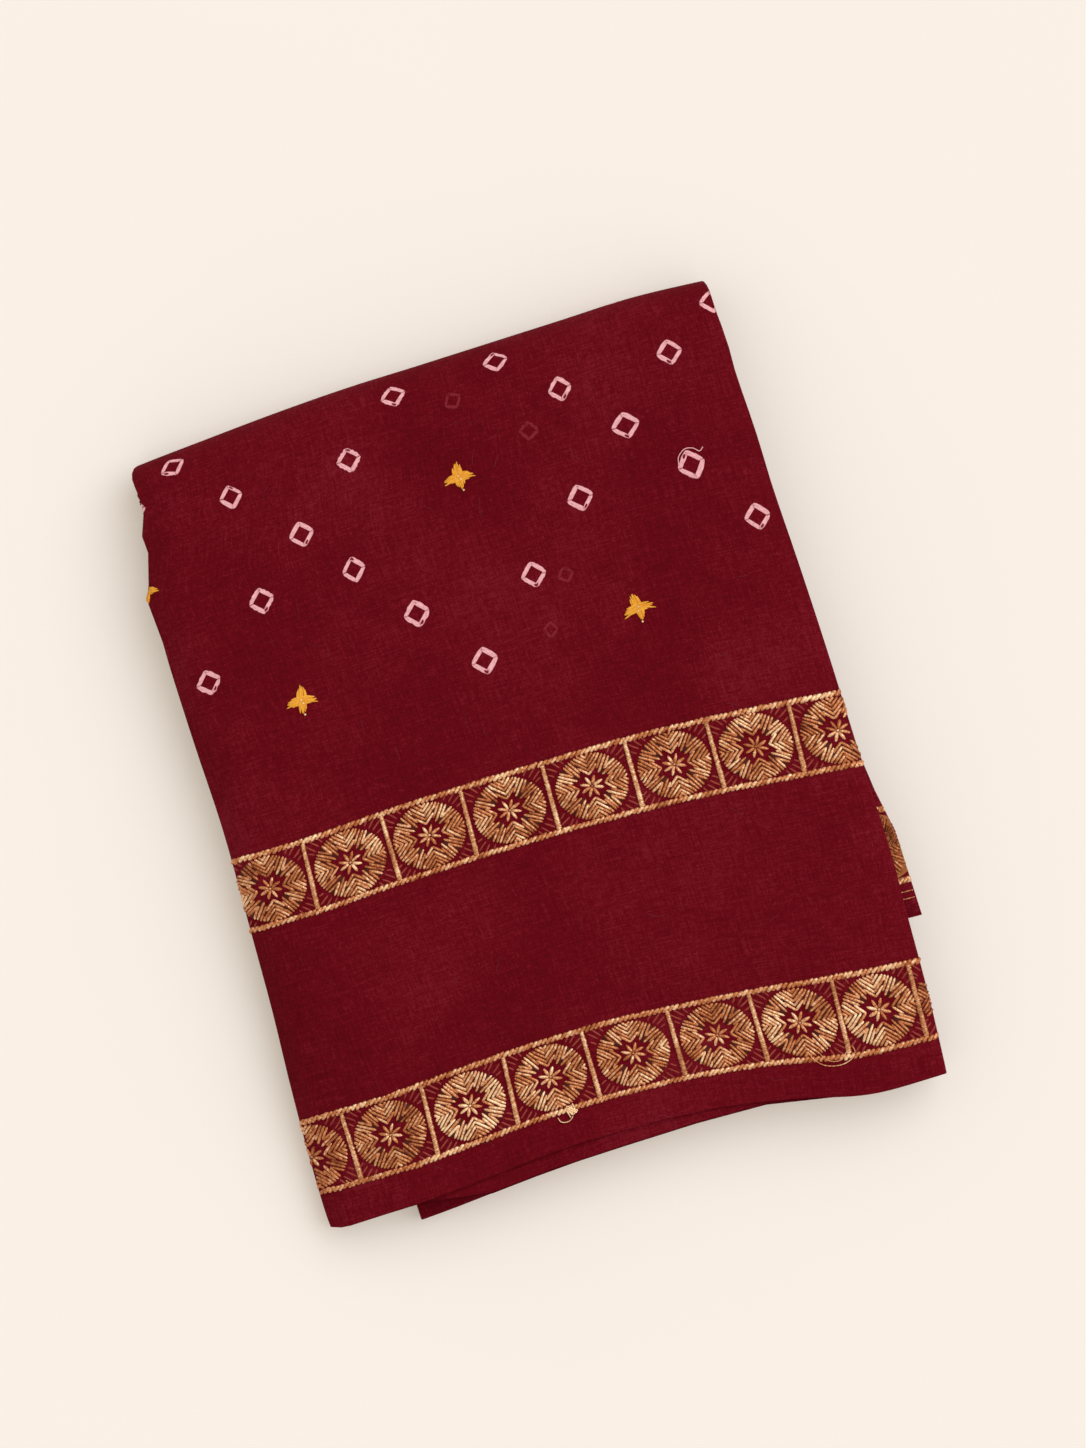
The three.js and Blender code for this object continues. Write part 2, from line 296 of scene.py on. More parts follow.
strip = strip_rows()
print("thread lines along the stack:", len(strip))

# %% [markdown]
# Seen from its side, the doubled strip starts at the upper front edge, goes back over the thick fold,
# comes forward underneath and ends in a hairpin, from which the inner sheet goes all the way back.
# The inner sheet is a little shorter, so near the front the top layer lies alone.

# %% Columns of the strip, seen from its side
TOP_STEP = 7.7
FINE_RUNS = np.r_[0, 1.5, 4, 8, 12, np.arange(18, BACK_RUN - 3, TOP_STEP)]
BACK_RUNS = np.linspace(BACK_RUN, LOWER_RUN, 13)
LOWER_RUNS = np.linspace(LOWER_RUN, FRONT_RUN, 13)[1:]
INNER_RUNS = np.r_[FRONT_RUN, np.linspace(FRONT_RUN, LOWER_RUN, 9)[1:-1],
                   np.linspace(LOWER_RUN, BACK_RUN, 9), np.linspace(BACK_RUN, INNER_EDGE_RUN, 15)[1:]]
HAIRPIN_STEPS = 4
HAIRPIN_STEP = 0.3


def sheet_columns():
    """run, offset (1 on the outer sheet, -1 on the inner one, the cosine between them in the hairpin),
    reach (its sine), and the distance from the outer woven edge measured along the cloth."""
    outer = np.r_[FINE_RUNS, BACK_RUNS, LOWER_RUNS]
    turn = np.pi * np.arange(1, HAIRPIN_STEPS) / HAIRPIN_STEPS
    run = np.r_[outer, np.full(len(turn), FRONT_RUN), INNER_RUNS]
    offset = np.r_[np.ones(len(outer)), np.cos(turn), -np.ones(len(INNER_RUNS))]
    reach = np.r_[np.zeros(len(outer)), np.sin(turn), np.zeros(len(INNER_RUNS))]
    from_edge = np.where(offset > 0.99, run, CLOTH_WIDTH - (run - INNER_EDGE_RUN))
    from_edge[len(outer):len(outer) + len(turn)] = FRONT_RUN + HAIRPIN_STEP * np.arange(1, HAIRPIN_STEPS)
    return run, offset, reach, from_edge


run, offset, reach, from_edge = sheet_columns()
print("stations along the cloth's width:", len(run))

# %% [markdown]
# Before the sheet is laid, three small things are worked out: where the lower half's left side runs
# under the overhanging corner, how far the folded edges show under the front of the top panel, and the
# low ripples that only the top panel has.

# %% Corner, front band and ripples
BAND_STARTS = (-81.0, -75.0)
RIPPLE_LIFT = 0.24
RIPPLES = (
    # height, then for the sine and for the cosine: x factor, y factor, length, start
    (0.16, (1.0, 0.35, 61.0, 0.7), (-0.2, 1.0, 83.0, 0.0)),
    (0.07, (0.5, 1.0, 37.0, 2.1), (1.0, 0.0, 47.0, 0.4)),
)


def lower_left(y):
    """The left side of the lower half, under a point that far back."""
    return left_side(np.clip(LOWER_RUN + TURN[0] - y, LOWER_RUN, FRONT_RUN))


def band(x):
    """How far, as a negative number, the folded edges under the top panel reach past its front edge:
    the front line of the lower half less that of the top panel, from the lower half's left end on."""
    share = (x - left_side(FRONT_RUN)) / (right_side(FRONT_RUN) - left_side(FRONT_RUN))
    top_share = (x - left_side(0.0)) / (right_side(0.0) - left_side(0.0))
    past = level(np.full_like(x, FRONT_RUN), share) - level(np.zeros_like(x), top_share)
    return np.minimum(past, 0) * smooth(*BAND_STARTS, x)


def ripples(x, y):
    """Low ripples of the top panel, lifted above zero: for each row of the table its height times a
    sine in one direction times a cosine in another."""
    lift = RIPPLE_LIFT
    for height, sine, cosine in RIPPLES:
        angles = [2 * np.pi * (x_factor * x + y_factor * y) / length + start
                  for x_factor, y_factor, length, start in (sine, cosine)]
        lift = lift + height * (np.sin(angles[0]) * np.cos(angles[1]))
    return lift


print("edges under the front reach past it in mm:", np.round(band(np.array([-70.0, 0.0, 70.0])), 1))

# %% [markdown]
# Laying puts every point of the doubled strip in its place in the folded stack. The front left corner
# of the top panel hangs down in a small soft point, and one inner sheet is pulled out at the right.

# %% Laying the strip
TUCK_FADE = 90.0
PEEK = np.array([(54, 5.5), (67, 4.7), (85, 4.0), (98, 2.0), (106, 0.6), (124, 0)])
OVERHANG_REST = 2.0
TIP_AT, TIP_WIDE, TIP_DROOP, TIP_REACH = -108.5, 4.0, 1.3, 14.0
RIPPLE_BACK = (BACK_RUN - 20, LOWER_RUN - 8)
RIPPLE_EDGE = 14.0


def lay(face):
    """Positions of the points that lie face millimetres outside the middle of the cloth.
    Across: a share of the left and right sides plus a shift. Back: the level of the run. Up: the
    height of two halves less the depth in the upper half, the depth in the lower half, and in
    between a turn about the middle of the stack, HALF - depth from its axis."""
    row = {name: strip[name][:, None] for name in strip.dtype.names}
    here, out = run[None, :], (PITCH / 2 + face)
    left, right = left_side(here), right_side(here)
    carried = np.where(here < BACK_RUN, lower_left(level(here, 0.0)) + OVERHANG_REST - left, 0)
    bend = np.maximum(END_INSET, carried)
    x = row["left"] * left + row["right"] * right + row["shift"] + row["bend"] * bend
    x = x + out * offset[None, :] * row["aside"]
    inner_front = (offset[None, :] < 0) & (here < PEEK[-1, 0])
    x = x + np.where(inner_front, row["peek"] * through(PEEK[:, 0], PEEK[:, 1], here), 0)
    y = level(here, (x - left) / (right - left))
    y = y + (row["upper_tuck"] + row["spread"] * band(x)) * (1 - smooth(0, TUCK_FADE, here))
    y = y - TIP_DROOP * np.exp(-((x - TIP_AT) / TIP_WIDE) ** 2) * (1 - smooth(0, TIP_REACH, here))
    y = y + row["lower_tuck"] * (1 - smooth(0, TUCK_FADE, FRONT_RUN - here))
    lift = row["top"] * ripples(x, y) * (1 - smooth(*RIPPLE_BACK, here))
    lift = lift * smooth(0, RIPPLE_EDGE, np.minimum(x - left, right - x))
    depth = row["depth"] + out * offset[None, :] * row["deep"] - lift
    angle = np.clip((here - BACK_RUN) / HALF, 0, np.pi)
    turning = (here > BACK_RUN) & (here < LOWER_RUN)
    z = np.where(here <= BACK_RUN, 2 * HALF - depth, depth)
    z = np.where(turning, HALF + (HALF - depth) * np.cos(angle), z)
    y = y + np.where(turning, (HALF - depth) * np.sin(angle), 0) - out * reach[None, :]
    return x, y, z, angle, left, right


print("highest point as laid in mm:", np.round(lay(CLOTH / 2)[2].max(), 1))

# %% [markdown]
# Gravity and hands have pressed the stack: it is thinnest at its sides, faint waves run through it,
# its front sags where the inner sheet is missing, and the corner that reaches past the lower half
# hangs down. All of this only moves points down, by an amount that shrinks towards the floor, so
# layers keep their order.

# %% Pressing the stack
HALF_LENGTH = 147.0
MID_PRESS, SIDE_PRESS = 0.98, 0.88
WAVE_HEIGHT, WAVE_ACROSS, WAVE_ALONG, WAVE_SLANT = 0.5, 74.0, 58.0, 0.4
WAVE_DEPTH = 16.0
FRONT_THIN = 0.25
OVERHANG_DROP, OVERHANG_REACH, OVERHANG_MOST = 9.0, 32.0, 1.05
ROLL_LEFT, ROLL_RIGHT = 0.1, 0.06
ROLL_LEFT_REACH, ROLL_RIGHT_REACH = 7.0, 4.0


def pressed(x, y, z, angle, left, right):
    """How far a laid point sinks: its height times one less the press, a quarter of its height over
    the lower half where the inner sheet is missing, and the hang of the corner: drop * (how far past
    the lower half / reach)^1.5."""
    here = run[None, :]
    across = np.clip((2 * x - left - right) / (right - left), -1, 1)
    along = np.clip(y / HALF_LENGTH, -1, 1)
    crown = (1 - across**4) * (1 - along**4)
    press = SIDE_PRESS + (MID_PRESS - SIDE_PRESS) * crown
    wave = np.sin(2 * np.pi * x / WAVE_ACROSS + 1)
    wave = wave * np.cos(2 * np.pi * (y + WAVE_SLANT * x) / WAVE_ALONG)
    press = press + WAVE_HEIGHT / (2 * HALF) * crown * wave * smooth(0, WAVE_DEPTH, z)
    press = press - ROLL_LEFT * (1 - smooth(0, ROLL_LEFT_REACH, x - left))
    press = press - ROLL_RIGHT * (1 - smooth(0, ROLL_RIGHT_REACH, right - x))
    drop = np.clip(z - PITCH / 2, 0, None) * (1 - press)
    missing = 1 - smooth(INNER_EDGE_RUN / 2, INNER_EDGE_RUN, here)
    drop = drop + np.where(here < BACK_RUN, FRONT_THIN * missing * (z - HALF) * press, 0)
    past = np.clip((lower_left(y) - x) / OVERHANG_REACH, 0, OVERHANG_MOST)
    return drop + (1 + np.cos(angle)) / 2 * OVERHANG_DROP * past**1.5


def faces_of_cloth():
    """The outside and the inside of the cloth as two grids of points, moved onto the frame's node."""
    sink = pressed(*lay(0.0))
    grids = []
    for face in (CLOTH / 2, -CLOTH / 2):
        x, y, z = lay(face)[:3]
        grids.append(np.stack([x, y, z - sink - (PITCH - CLOTH) / 2], -1))
    both = np.stack(grids)
    low, high = both.min((0, 1, 2)), both.max((0, 1, 2))
    middle = (node_low + node_high) / 2
    shift = np.array([middle[0] - (low[0] + high[0]) / 2, middle[1] - (low[1] + high[1]) / 2, -low[2]])
    return both + shift, shift


(outside, inside), frame_shift = faces_of_cloth()
print("modelled stack in mm:", np.round(outside.max((0, 1)) - outside.min((0, 1)), 1))
print("shift onto the frame in mm:", np.round(frame_shift, 2))

# %% [markdown]
# A mesh needs its points in one list and its faces as numbers into it. Grids make that simple: face
# (i, j) joins four neighbours. The two faces of the cloth are closed with a rim round its edge, so the
# sheet has a true thickness. Coordinates along the cloth go with every point: how far along the
# length and how far from the woven edge, in metres, which is what a weaver's pattern follows.

# %% Mesh helpers


def grid_faces(rows, columns, start=0, wrap=False):
    """Quads between neighbours of a grid stored row by row, closed on itself across if wrap is set."""
    i, j = np.meshgrid(np.arange(rows - 1), np.arange(columns if wrap else columns - 1), indexing="ij")
    k = (j + 1) % columns
    return (start + np.stack([i * columns + j, (i + 1) * columns + j, (i + 1) * columns + k,
                              i * columns + k], -1)).reshape(-1, 4)


def make_mesh(name, points, faces, uv=None, attributes=None, material=None, flat=False):
    """A mesh object from arrays: points in millimetres, quads (a repeated last corner is a triangle),
    and one value of each attribute for every point."""
    faces = np.asarray(faces)
    mesh = bpy.data.meshes.new(name)
    mesh.vertices.add(len(points))
    mesh.vertices.foreach_set("co", (np.asarray(points) * MM).astype(np.float32).ravel())
    sides = np.where(faces[:, 3] == faces[:, 2], 3, 4)
    corners = faces[np.arange(4)[None, :] < sides[:, None]]
    mesh.loops.add(len(corners))
    mesh.loops.foreach_set("vertex_index", corners.astype(np.int32))
    mesh.polygons.add(len(faces))
    starts = np.r_[0, np.cumsum(sides)[:-1]]
    mesh.polygons.foreach_set("loop_start", starts.astype(np.int32))
    mesh.polygons.foreach_set("use_smooth", np.full(len(faces), not flat))
    mesh.update(calc_edges=True)
    if uv is not None:
        layer = mesh.uv_layers.new(name="cloth")
        layer.data.foreach_set("uv", np.asarray(uv)[corners].astype(np.float32).ravel())
    for key, values in (attributes or {}).items():
        mesh.attributes.new(key, "FLOAT", "POINT").data.foreach_set("value", values.astype(np.float32))
    mesh.validate()
    thing = bpy.data.objects.new(name, mesh)
    if material is not None:
        mesh.materials.append(material)
    bpy.context.scene.collection.objects.link(thing)
    return thing


print("faces of a grid of 3 by 4 points:", len(grid_faces(3, 4)))

# %% The cloth as one closed mesh
MEASURED_RUN = 130
BARE_PAST_FOLD = 30


def closed_sheet():
    """Quads of both faces of the cloth and of the rim, each wound so that it points outwards."""
    rows, columns = outside.shape[:2]
    count = rows * columns
    top = grid_faces(rows, columns)
    under = grid_faces(rows, columns, count)[:, ::-1]
    first, last = np.arange(columns), np.arange(columns) + (rows - 1) * columns
    start, end = np.arange(rows) * columns, np.arange(rows) * columns + columns - 1
    rims = []
    for edge in (first[::-1], last, start, end[::-1]):
        rims.append(np.stack([edge[:-1], edge[1:], edge[1:] + count, edge[:-1] + count], -1))
    return np.concatenate([top, under, *rims])


def outward(points, faces):
    """Turns all faces round if the volume they enclose comes out negative. Six times the volume is the
    sum over all faces a, b, c, d of a . (b x c) + a . (c x d)."""
    a, b, c, d = (points[faces[:, k]] for k in range(4))
    volume = np.einsum("ij,ij->", a, np.cross(b, c)) + np.einsum("ij,ij->", a, np.cross(c, d))
    return faces if volume > 0 else faces[:, ::-1]


middle_column = np.argmin(np.abs(run[:len(FINE_RUNS)] - MEASURED_RUN))
steps = np.linalg.norm(np.diff(outside[:, middle_column], axis=0), axis=-1)
along_cloth = np.r_[0, np.cumsum(steps)]
top_rows = np.flatnonzero(strip["top"] == 1)
top_middle = top_rows[len(top_rows) // 2]
along_cloth = along_cloth[top_middle] - along_cloth + outside[top_middle, middle_column, 0]
points = np.concatenate([outside.reshape(-1, 3), inside.reshape(-1, 3)])
faces = outward(points, closed_sheet())
pair = np.stack(np.broadcast_arrays(along_cloth[:, None], from_edge[None, :]), -1).reshape(-1, 2) * MM
on_top = strip["top"][:, None] > 0.5
on_top = on_top & (run[None, :] < BACK_RUN + BARE_PAST_FOLD) & (offset[None, :] > 0)
bare = np.r_[on_top.ravel(), np.zeros(on_top.size)].astype(float)
print("faces of the cloth:", len(faces), "length along the folds in mm:", np.ptp(along_cloth).round())

# %% [markdown]
# A finish starts from what the stuff is. Colours are written as they look on a screen and turned to
# linear light by one function. One more function adds a node, sets its values and joins its inputs,
# so that a material reads as a list of steps.

# %% Node helpers


def srgb(code, alpha=1.0):
    """#RRGGBB as linear light: c / 12.92 below 0.04045, otherwise ((c + 0.055) / 1.055)^2.4."""
    c = np.array([int(code[k:k + 2], 16) for k in (1, 3, 5)]) / 255
    linear = np.where(c <= 0.04045, c / 12.92, ((c + 0.055) / 1.055) ** 2.4)
    return (*linear, alpha)


def node(tree, kind, inputs=None, **settings):
    """Adds a node and sets its settings. An input given as a node is joined to that node's first
    output in use, one given as a socket is joined to it, and any other value is set as it is."""
    new = tree.nodes.new("ShaderNode" + kind)
    for key, value in settings.items():
        setattr(new, key, value)
    for key, value in (inputs or {}).items():
        if isinstance(value, bpy.types.Node):
            value = next(output for output in value.outputs if output.enabled)
        if isinstance(value, bpy.types.NodeSocket):
            tree.links.new(value, new.inputs[key])
        else:
            new.inputs[key].default_value = value
    return new


def new_material(name):
    """An empty material and its node tree."""
    material = bpy.data.materials.new(name)
    material.use_nodes = True
    material.node_tree.nodes.clear()
    return material, material.node_tree


print("maroon in linear light:", np.round(srgb("#600714")[:3], 4))

# %% [markdown]
# The borders' gold is woven into every layer. On the top panel it is made stitch by stitch, but in the
# hidden layers only its edge shows at the folds, so there it is drawn in the cloth's own finish: two
# ropes and a row of discs, in a brown gold darker than the stitched gold, which is painted shade, and
# with bright flecks that are painted glints.

# %% Gold of the hidden layers
# Painted shade: both golds are darker than the stitched zari, for the shade that the hidden layers lie in.
SHADED_BORDER_BROWN, SHADED_BORDER_GOLD = srgb("#5a2412"), srgb("#b87a48")
BORDERS = ((12.0, 40.0), (109.0, 136.5))
CELL = 30.1
DISC_ACROSS, DISC_ALONG = 13.4, 11.9
ROPE = 2.1
BORDER_HALF = 13.9


def border_gold(tree, along, across):
    """Where gold lies, 0 or 1. Off is the distance from a border's middle line, beside the distance
    from the middle of a cell. Gold where off is under 13.9, and either over 11.8, which is the rope,
    or (beside / 13.4)^2 + (off / 11.9)^2 is under 1, which is the disc."""
    offs = []
    for low, high in BORDERS:
        centred = node(tree, "Math", {0: across, 1: (low + high) / 2}, operation="SUBTRACT")
        offs.append(node(tree, "Math", {0: centred}, operation="ABSOLUTE"))
    off = node(tree, "Math", {0: offs[0], 1: offs[1]}, operation="MINIMUM")
    within = node(tree, "Math", {0: off, 1: BORDER_HALF}, operation="LESS_THAN")
    rope = node(tree, "Math", {0: off, 1: BORDER_HALF - ROPE}, operation="GREATER_THAN")
    cell = node(tree, "Math", {0: along, 1: CELL / 2}, operation="PINGPONG")
    from_middle = node(tree, "Math", {0: CELL / 2, 1: cell}, operation="SUBTRACT")
    wide = node(tree, "Math", {0: from_middle, 1: DISC_ACROSS}, operation="DIVIDE")
    tall = node(tree, "Math", {0: off, 1: DISC_ALONG}, operation="DIVIDE")
    wide = node(tree, "Math", {0: wide, 1: 2.0}, operation="POWER")
    tall = node(tree, "Math", {0: tall, 1: 2.0}, operation="POWER")
    disc = node(tree, "Math", {0: wide, 1: tall}, operation="ADD")
    disc = node(tree, "Math", {0: disc, 1: 1.0}, operation="LESS_THAN")
    shown = node(tree, "Math", {0: rope, 1: disc}, operation="MAXIMUM")
    return node(tree, "Math", {0: within, 1: shown}, operation="MULTIPLY")


print("borders run from the woven edge:", BORDERS)

# %% [markdown]
# The ground is handloom cotton dyed a deep maroon. Cotton scatters light evenly, and the loose ends
# of its fibres give a soft glow at grazing angles, which sheen stands for. Dye never takes evenly:
# clouds of some 40 mm, mottles of 1.6 mm and a grain of half a millimetre vary the red, thicker yarns
# show as faint streaks about 10 mm long, and lint catches light as pinkish specks. Real yarns are
# 0.28 mm apart, finer than a picture of the whole stack can show, so the weave in the relief is drawn
# at 0.55 mm.

# %% Colour of the ground
MAROON_DEEP, MAROON, MAROON_LIGHT = srgb("#50030f"), srgb("#610513"), srgb("#741826")
LINT = srgb("#9c4450")
YARN_DRAWN = 0.55
CLOUD, MOTTLE, GRAIN, SLUB, SPECK = 42.0, 1.6, 0.5, 10.0, 0.6
DEEP_AT, MAROON_AT, LIGHT_AT = 0.34, 0.54, 0.74


def cotton_tone(tree, place, woven):
    """Light and dark of the dye, about 0.53 on average: 0.35 clouds + 0.28 mottles + 0.4 grain +
    0.34 for each way's slubs - 0.325. Every part is a noise about 0.5."""
    tone = -0.325
    for size, detail, weight in ((CLOUD, 3.0, 0.35), (MOTTLE, 3.0, 0.28), (GRAIN, 1.0, 0.4)):
        noise = node(tree, "TexNoise", {"Vector": place, "Scale": 1 / (size * MM), "Detail": detail})
        tone = node(tree, "Math", {0: noise, 1: weight, 2: tone}, operation="MULTIPLY_ADD")
    for scale in ((1 / (SLUB * MM), 1 / (YARN_DRAWN * MM), 1), (1 / (YARN_DRAWN * MM), 1 / (SLUB * MM), 1)):
        stretched = node(tree, "Mapping", {"Vector": woven, "Scale": scale})
        slubs = node(tree, "TexNoise", {"Vector": stretched, "Scale": 1.0, "Detail": 2.0})
        tone = node(tree, "Math", {0: slubs, 1: 0.34, 2: tone}, operation="MULTIPLY_ADD")
    return tone


def ground_colour(tree, place, tone):
    """The dyed ground: three maroons from deep to light by tone, and 22% of lint over it where its own
    noise passes 0.8, falling to none at 0.68."""
    ramp = node(tree, "ValToRGB", {0: tone})
    ramp.color_ramp.elements[0].position = DEEP_AT
    ramp.color_ramp.elements[0].color = MAROON_DEEP
    ramp.color_ramp.elements[1].position = LIGHT_AT
    ramp.color_ramp.elements[1].color = MAROON_LIGHT
    ramp.color_ramp.elements.new(MAROON_AT).color = MAROON
    specks = node(tree, "TexNoise", {"Vector": place, "Scale": 1 / (SPECK * MM), "Detail": 1.0})
    lint = node(tree, "MapRange", {0: specks, 1: 0.68, 2: 0.8, 3: 0.0, 4: 0.22})
    return node(tree, "Mix", {"Factor": lint, "A": ramp, "B": LINT}, data_type="RGBA")


print("slubs in mm:", SLUB, "drawn yarns in mm:", YARN_DRAWN)

# %% Weave and finish of the cloth
PAINTED_GOLD_GLINT = 1.1
RELIEF_HIGH = 0.12
SHEEN_TINT = srgb("#a02030")


def weave_relief(tree, along, across, tone):
    """0.3 * sine of the way along * sine of the way across + tone, both sines one yarn long."""
    waves = []
    for way in (along, across):
        turns = node(tree, "Math", {0: way, 1: 2 * np.pi / YARN_DRAWN}, operation="MULTIPLY")
        waves.append(node(tree, "Math", {0: turns}, operation="SINE"))
    weave = node(tree, "Math", {0: waves[0], 1: waves[1]}, operation="MULTIPLY")
    return node(tree, "Math", {0: weave, 1: 0.3, 2: tone}, operation="MULTIPLY_ADD")


def maroon_cotton():
    """The cloth's finish. Gold is shown only where the attribute bare is 0, off the top panel. There
    it is smoother, 0.88 - 0.35 gold, and half metal."""
    material, tree = new_material("maroon_handloom_cotton")
    place = node(tree, "TexCoord").outputs["Object"]
    woven = node(tree, "UVMap", uv_map="cloth")
    in_mm = node(tree, "VectorMath", {0: woven, "Scale": 1 / MM}, operation="SCALE")
    split = node(tree, "SeparateXYZ", {0: in_mm})
    along, from_one = split.outputs[0], split.outputs[1]
    from_other = node(tree, "Math", {0: CLOTH_WIDTH, 1: from_one}, operation="SUBTRACT")
    across = node(tree, "Math", {0: from_one, 1: from_other}, operation="MINIMUM")
    tone = cotton_tone(tree, place, woven)
    ground = ground_colour(tree, place, tone)
    bare = node(tree, "Attribute", attribute_name="bare").outputs["Fac"]
    hidden = node(tree, "Math", {0: 1.0, 1: bare}, operation="SUBTRACT")
    gold_here = node(tree, "Math", {0: border_gold(tree, along, across), 1: hidden}, operation="MULTIPLY")
    # Painted glint: this noise mixes the shaded brown and gold into bright flecks.
    painted_glint = node(tree, "TexNoise", {"Vector": place, "Scale": 1 / (PAINTED_GOLD_GLINT * MM)})
    gold = node(tree, "Mix", {"Factor": painted_glint, "A": SHADED_BORDER_BROWN, "B": SHADED_BORDER_GOLD}, data_type="RGBA")
    colour = node(tree, "Mix", {"Factor": gold_here, "A": ground, "B": gold}, data_type="RGBA")
    relief = weave_relief(tree, along, from_one, tone)
    bump = node(tree, "Bump", {"Height": relief, "Strength": 0.3, "Distance": RELIEF_HIGH * MM})
    rough = node(tree, "Math", {0: gold_here, 1: -0.35, 2: 0.88}, operation="MULTIPLY_ADD")
    metal = node(tree, "Math", {0: gold_here, 1: 0.5}, operation="MULTIPLY")
    shader = node(tree, "BsdfPrincipled", {
        "Base Color": colour, "Roughness": rough, "Normal": bump, "Metallic": metal,
        "Specular IOR Level": 0.05, "Sheen Weight": 0.05, "Sheen Roughness": 0.4,
        "Sheen Tint": SHEEN_TINT})
    node(tree, "OutputMaterial", {"Surface": shader})
    return material


cotton = maroon_cotton()
saree = make_mesh("folded_saree_cloth", points, faces, np.r_[pair, pair], {"bare": bare}, cotton)
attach(saree, "root")
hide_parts("saree_cloth")
print("triangles of the cloth:", 2 * len(faces))

# %% [markdown]
# Everything else is laid on the cloth, so it helps to have its face as a function of two distances:
# across, which is X on the flat part and goes on round the side folds, and run, the way back from the
# front edge. Resampling the cloth's own grid every half millimetre gives exactly the modelled face, so
# a thin stitch neither sinks in nor floats. Two faces are needed: the top panel, and the one inner
# sheet whose fold sticks out at the right.

# %% Faces to sew on
STEP = 0.5
REACH = 125.0
PEEK_LOW = 60.0
TOP_END = BACK_RUN + 0.62 * np.pi * HALF
PEEK_END = 146.0


def even_face(rows, columns, flat_part, middle, low):
    """A face of the cloth resampled at even steps across, from low to REACH, and its runs. Between two
    flat rows across grows by X, and round a fold by the length of the arc."""
    panel = outside[rows][:, columns]
    moved = np.diff(panel, axis=0)
    both_flat = (flat_part[1:] & flat_part[:-1])[:, None]
    grown = np.where(both_flat, moved[..., 0], np.hypot(moved[..., 0], moved[..., 2]))
    across = np.concatenate([np.zeros((1, len(columns))), np.cumsum(grown, 0)])
    across = across - across[middle] + panel[middle, :, 0]
    even = np.arange(low, REACH + STEP, STEP)
    grid = np.empty((len(even), len(columns), 3))
    for j in range(len(columns)):
        for axis in range(3):
            grid[:, j, axis] = np.interp(even, across[:, j], panel[:, j, axis])
    return grid, run[columns], low


def top_face():
    """The top panel and its two side folds, from left to right."""
    rows = np.arange(top_rows[0] - FOLD_STEPS - 1, top_rows[-1] + FOLD_STEPS + 2)[::-1]
    columns = np.flatnonzero((run <= TOP_END) & (offset > 0.99))
    return even_face(rows, columns, strip["top"][rows] == 1, len(rows) // 2, -REACH)


def peeking_face():
    """The inner sheet of the panel whose fold sticks out, near its front edge, and its fold."""
    rows = np.flatnonzero(strip["peek"] > 0)
    folded = np.flatnonzero(strip["aside"][rows] != 0)
    rows = rows[:folded[-1] + 2]
    columns = np.flatnonzero((offset < -0.99) & (run <= PEEK_END))[::-1]
    return even_face(rows, columns, np.arange(len(rows)) < folded[0], 0, PEEK_LOW)


TOP, PEEKING = top_face(), peeking_face()
print("steps across the top panel:", len(TOP[0]), "across the peeking sheet:", len(PEEKING[0]))

# %% [markdown]
# Three questions are asked of a face: where a point on it lies in space, which run belongs to a spot of
# the frame, and how far the face reaches to either side.

# %% Points on a face
NORMAL_SPAN = 4


def on_cloth(across, back, lift=0.0, face=TOP):
    """Points of a face at (across, run) and lift above it: bilinear between the grid's four
    neighbours, plus lift along the normal, the cross product of the two directions of the grid."""
    grid, runs, low = face
    across, back, lift = (np.asarray(values, float) for values in (across, back, lift))
    across, back, lift = np.broadcast_arrays(across, back, lift)
    i_real = np.clip((across - low) / STEP, 0, len(grid) - 1.001)
    i = i_real.astype(int)
    u = (i_real - i)[..., None]
    j = np.clip(np.searchsorted(runs, back) - 1, 0, len(runs) - 2)
    v = ((back - runs[j]) / (runs[j + 1] - runs[j]))[..., None]
    a, b, c, d = grid[i, j], grid[i + 1, j], grid[i, j + 1], grid[i + 1, j + 1]
    point = (a * (1 - u) + b * u) * (1 - v) + (c * (1 - u) + d * u) * v
    right, left = (np.clip(i + span, 0, len(grid) - 1) for span in (NORMAL_SPAN, -NORMAL_SPAN))
    sideways = grid[right, j] - grid[left, j]
    normal = np.cross(sideways, c + d - a - b)
    length = np.linalg.norm(normal, axis=-1, keepdims=True)
    return point + normal / np.maximum(length, 1e-9) * lift[..., None]


def run_at(x, y):
    """The run at which the top panel passes over the spot (x, y) of the frame. Past the back fold's
    farthest point the run goes on by what is left."""
    grid, runs, low = TOP
    backs = grid[int(round((x - low) / STEP)), :, 1]
    top = int(np.argmax(backs))
    return float(np.interp(y, backs[:top + 1], runs[:top + 1]) + max(y - backs[top], 0))


def edge_at(back, side, face=TOP):
    """The outermost X of a face at a run: side is -1 for the left and 1 for the right."""
    extreme = (face[0][:, :, 0] * side).max(0) * side
    return np.interp(back, face[1], extreme)


print("top panel from", np.round(edge_at(130.0, -1), 1), "to", np.round(edge_at(130.0, 1), 1), "mm")
print("sheet at the right reaches", np.round(edge_at(70.0, 1, PEEKING), 1), "mm")

# %% [markdown]
# Every stitch is a short thread lying on the cloth. It could be a curve with a bevel, but thousands
# are cheaper as one mesh: each stitch is a small closed spindle, flat below and round above, and all
# of them are computed together as one array.

# %% Stitches
END_CUT = 0.06
SUNK = -0.06


def spindle_faces(rows, sides):
    """Quads of a tube stored ring by ring, with a fan of triangles over each end."""
    ring = grid_faces(rows, sides, wrap=True)[:, ::-1]
    first, last = np.arange(sides), np.arange(sides) + (rows - 1) * sides
    caps = []
    for edge, order in ((first, (0, 1, 2, 2)), (last, (0, 2, 1, 1))):
        fan = np.stack([np.full(sides - 2, edge[0]), edge[1:-1], edge[2:]], -1)
        caps.append(fan[:, order])
    return np.concatenate([ring, *caps])


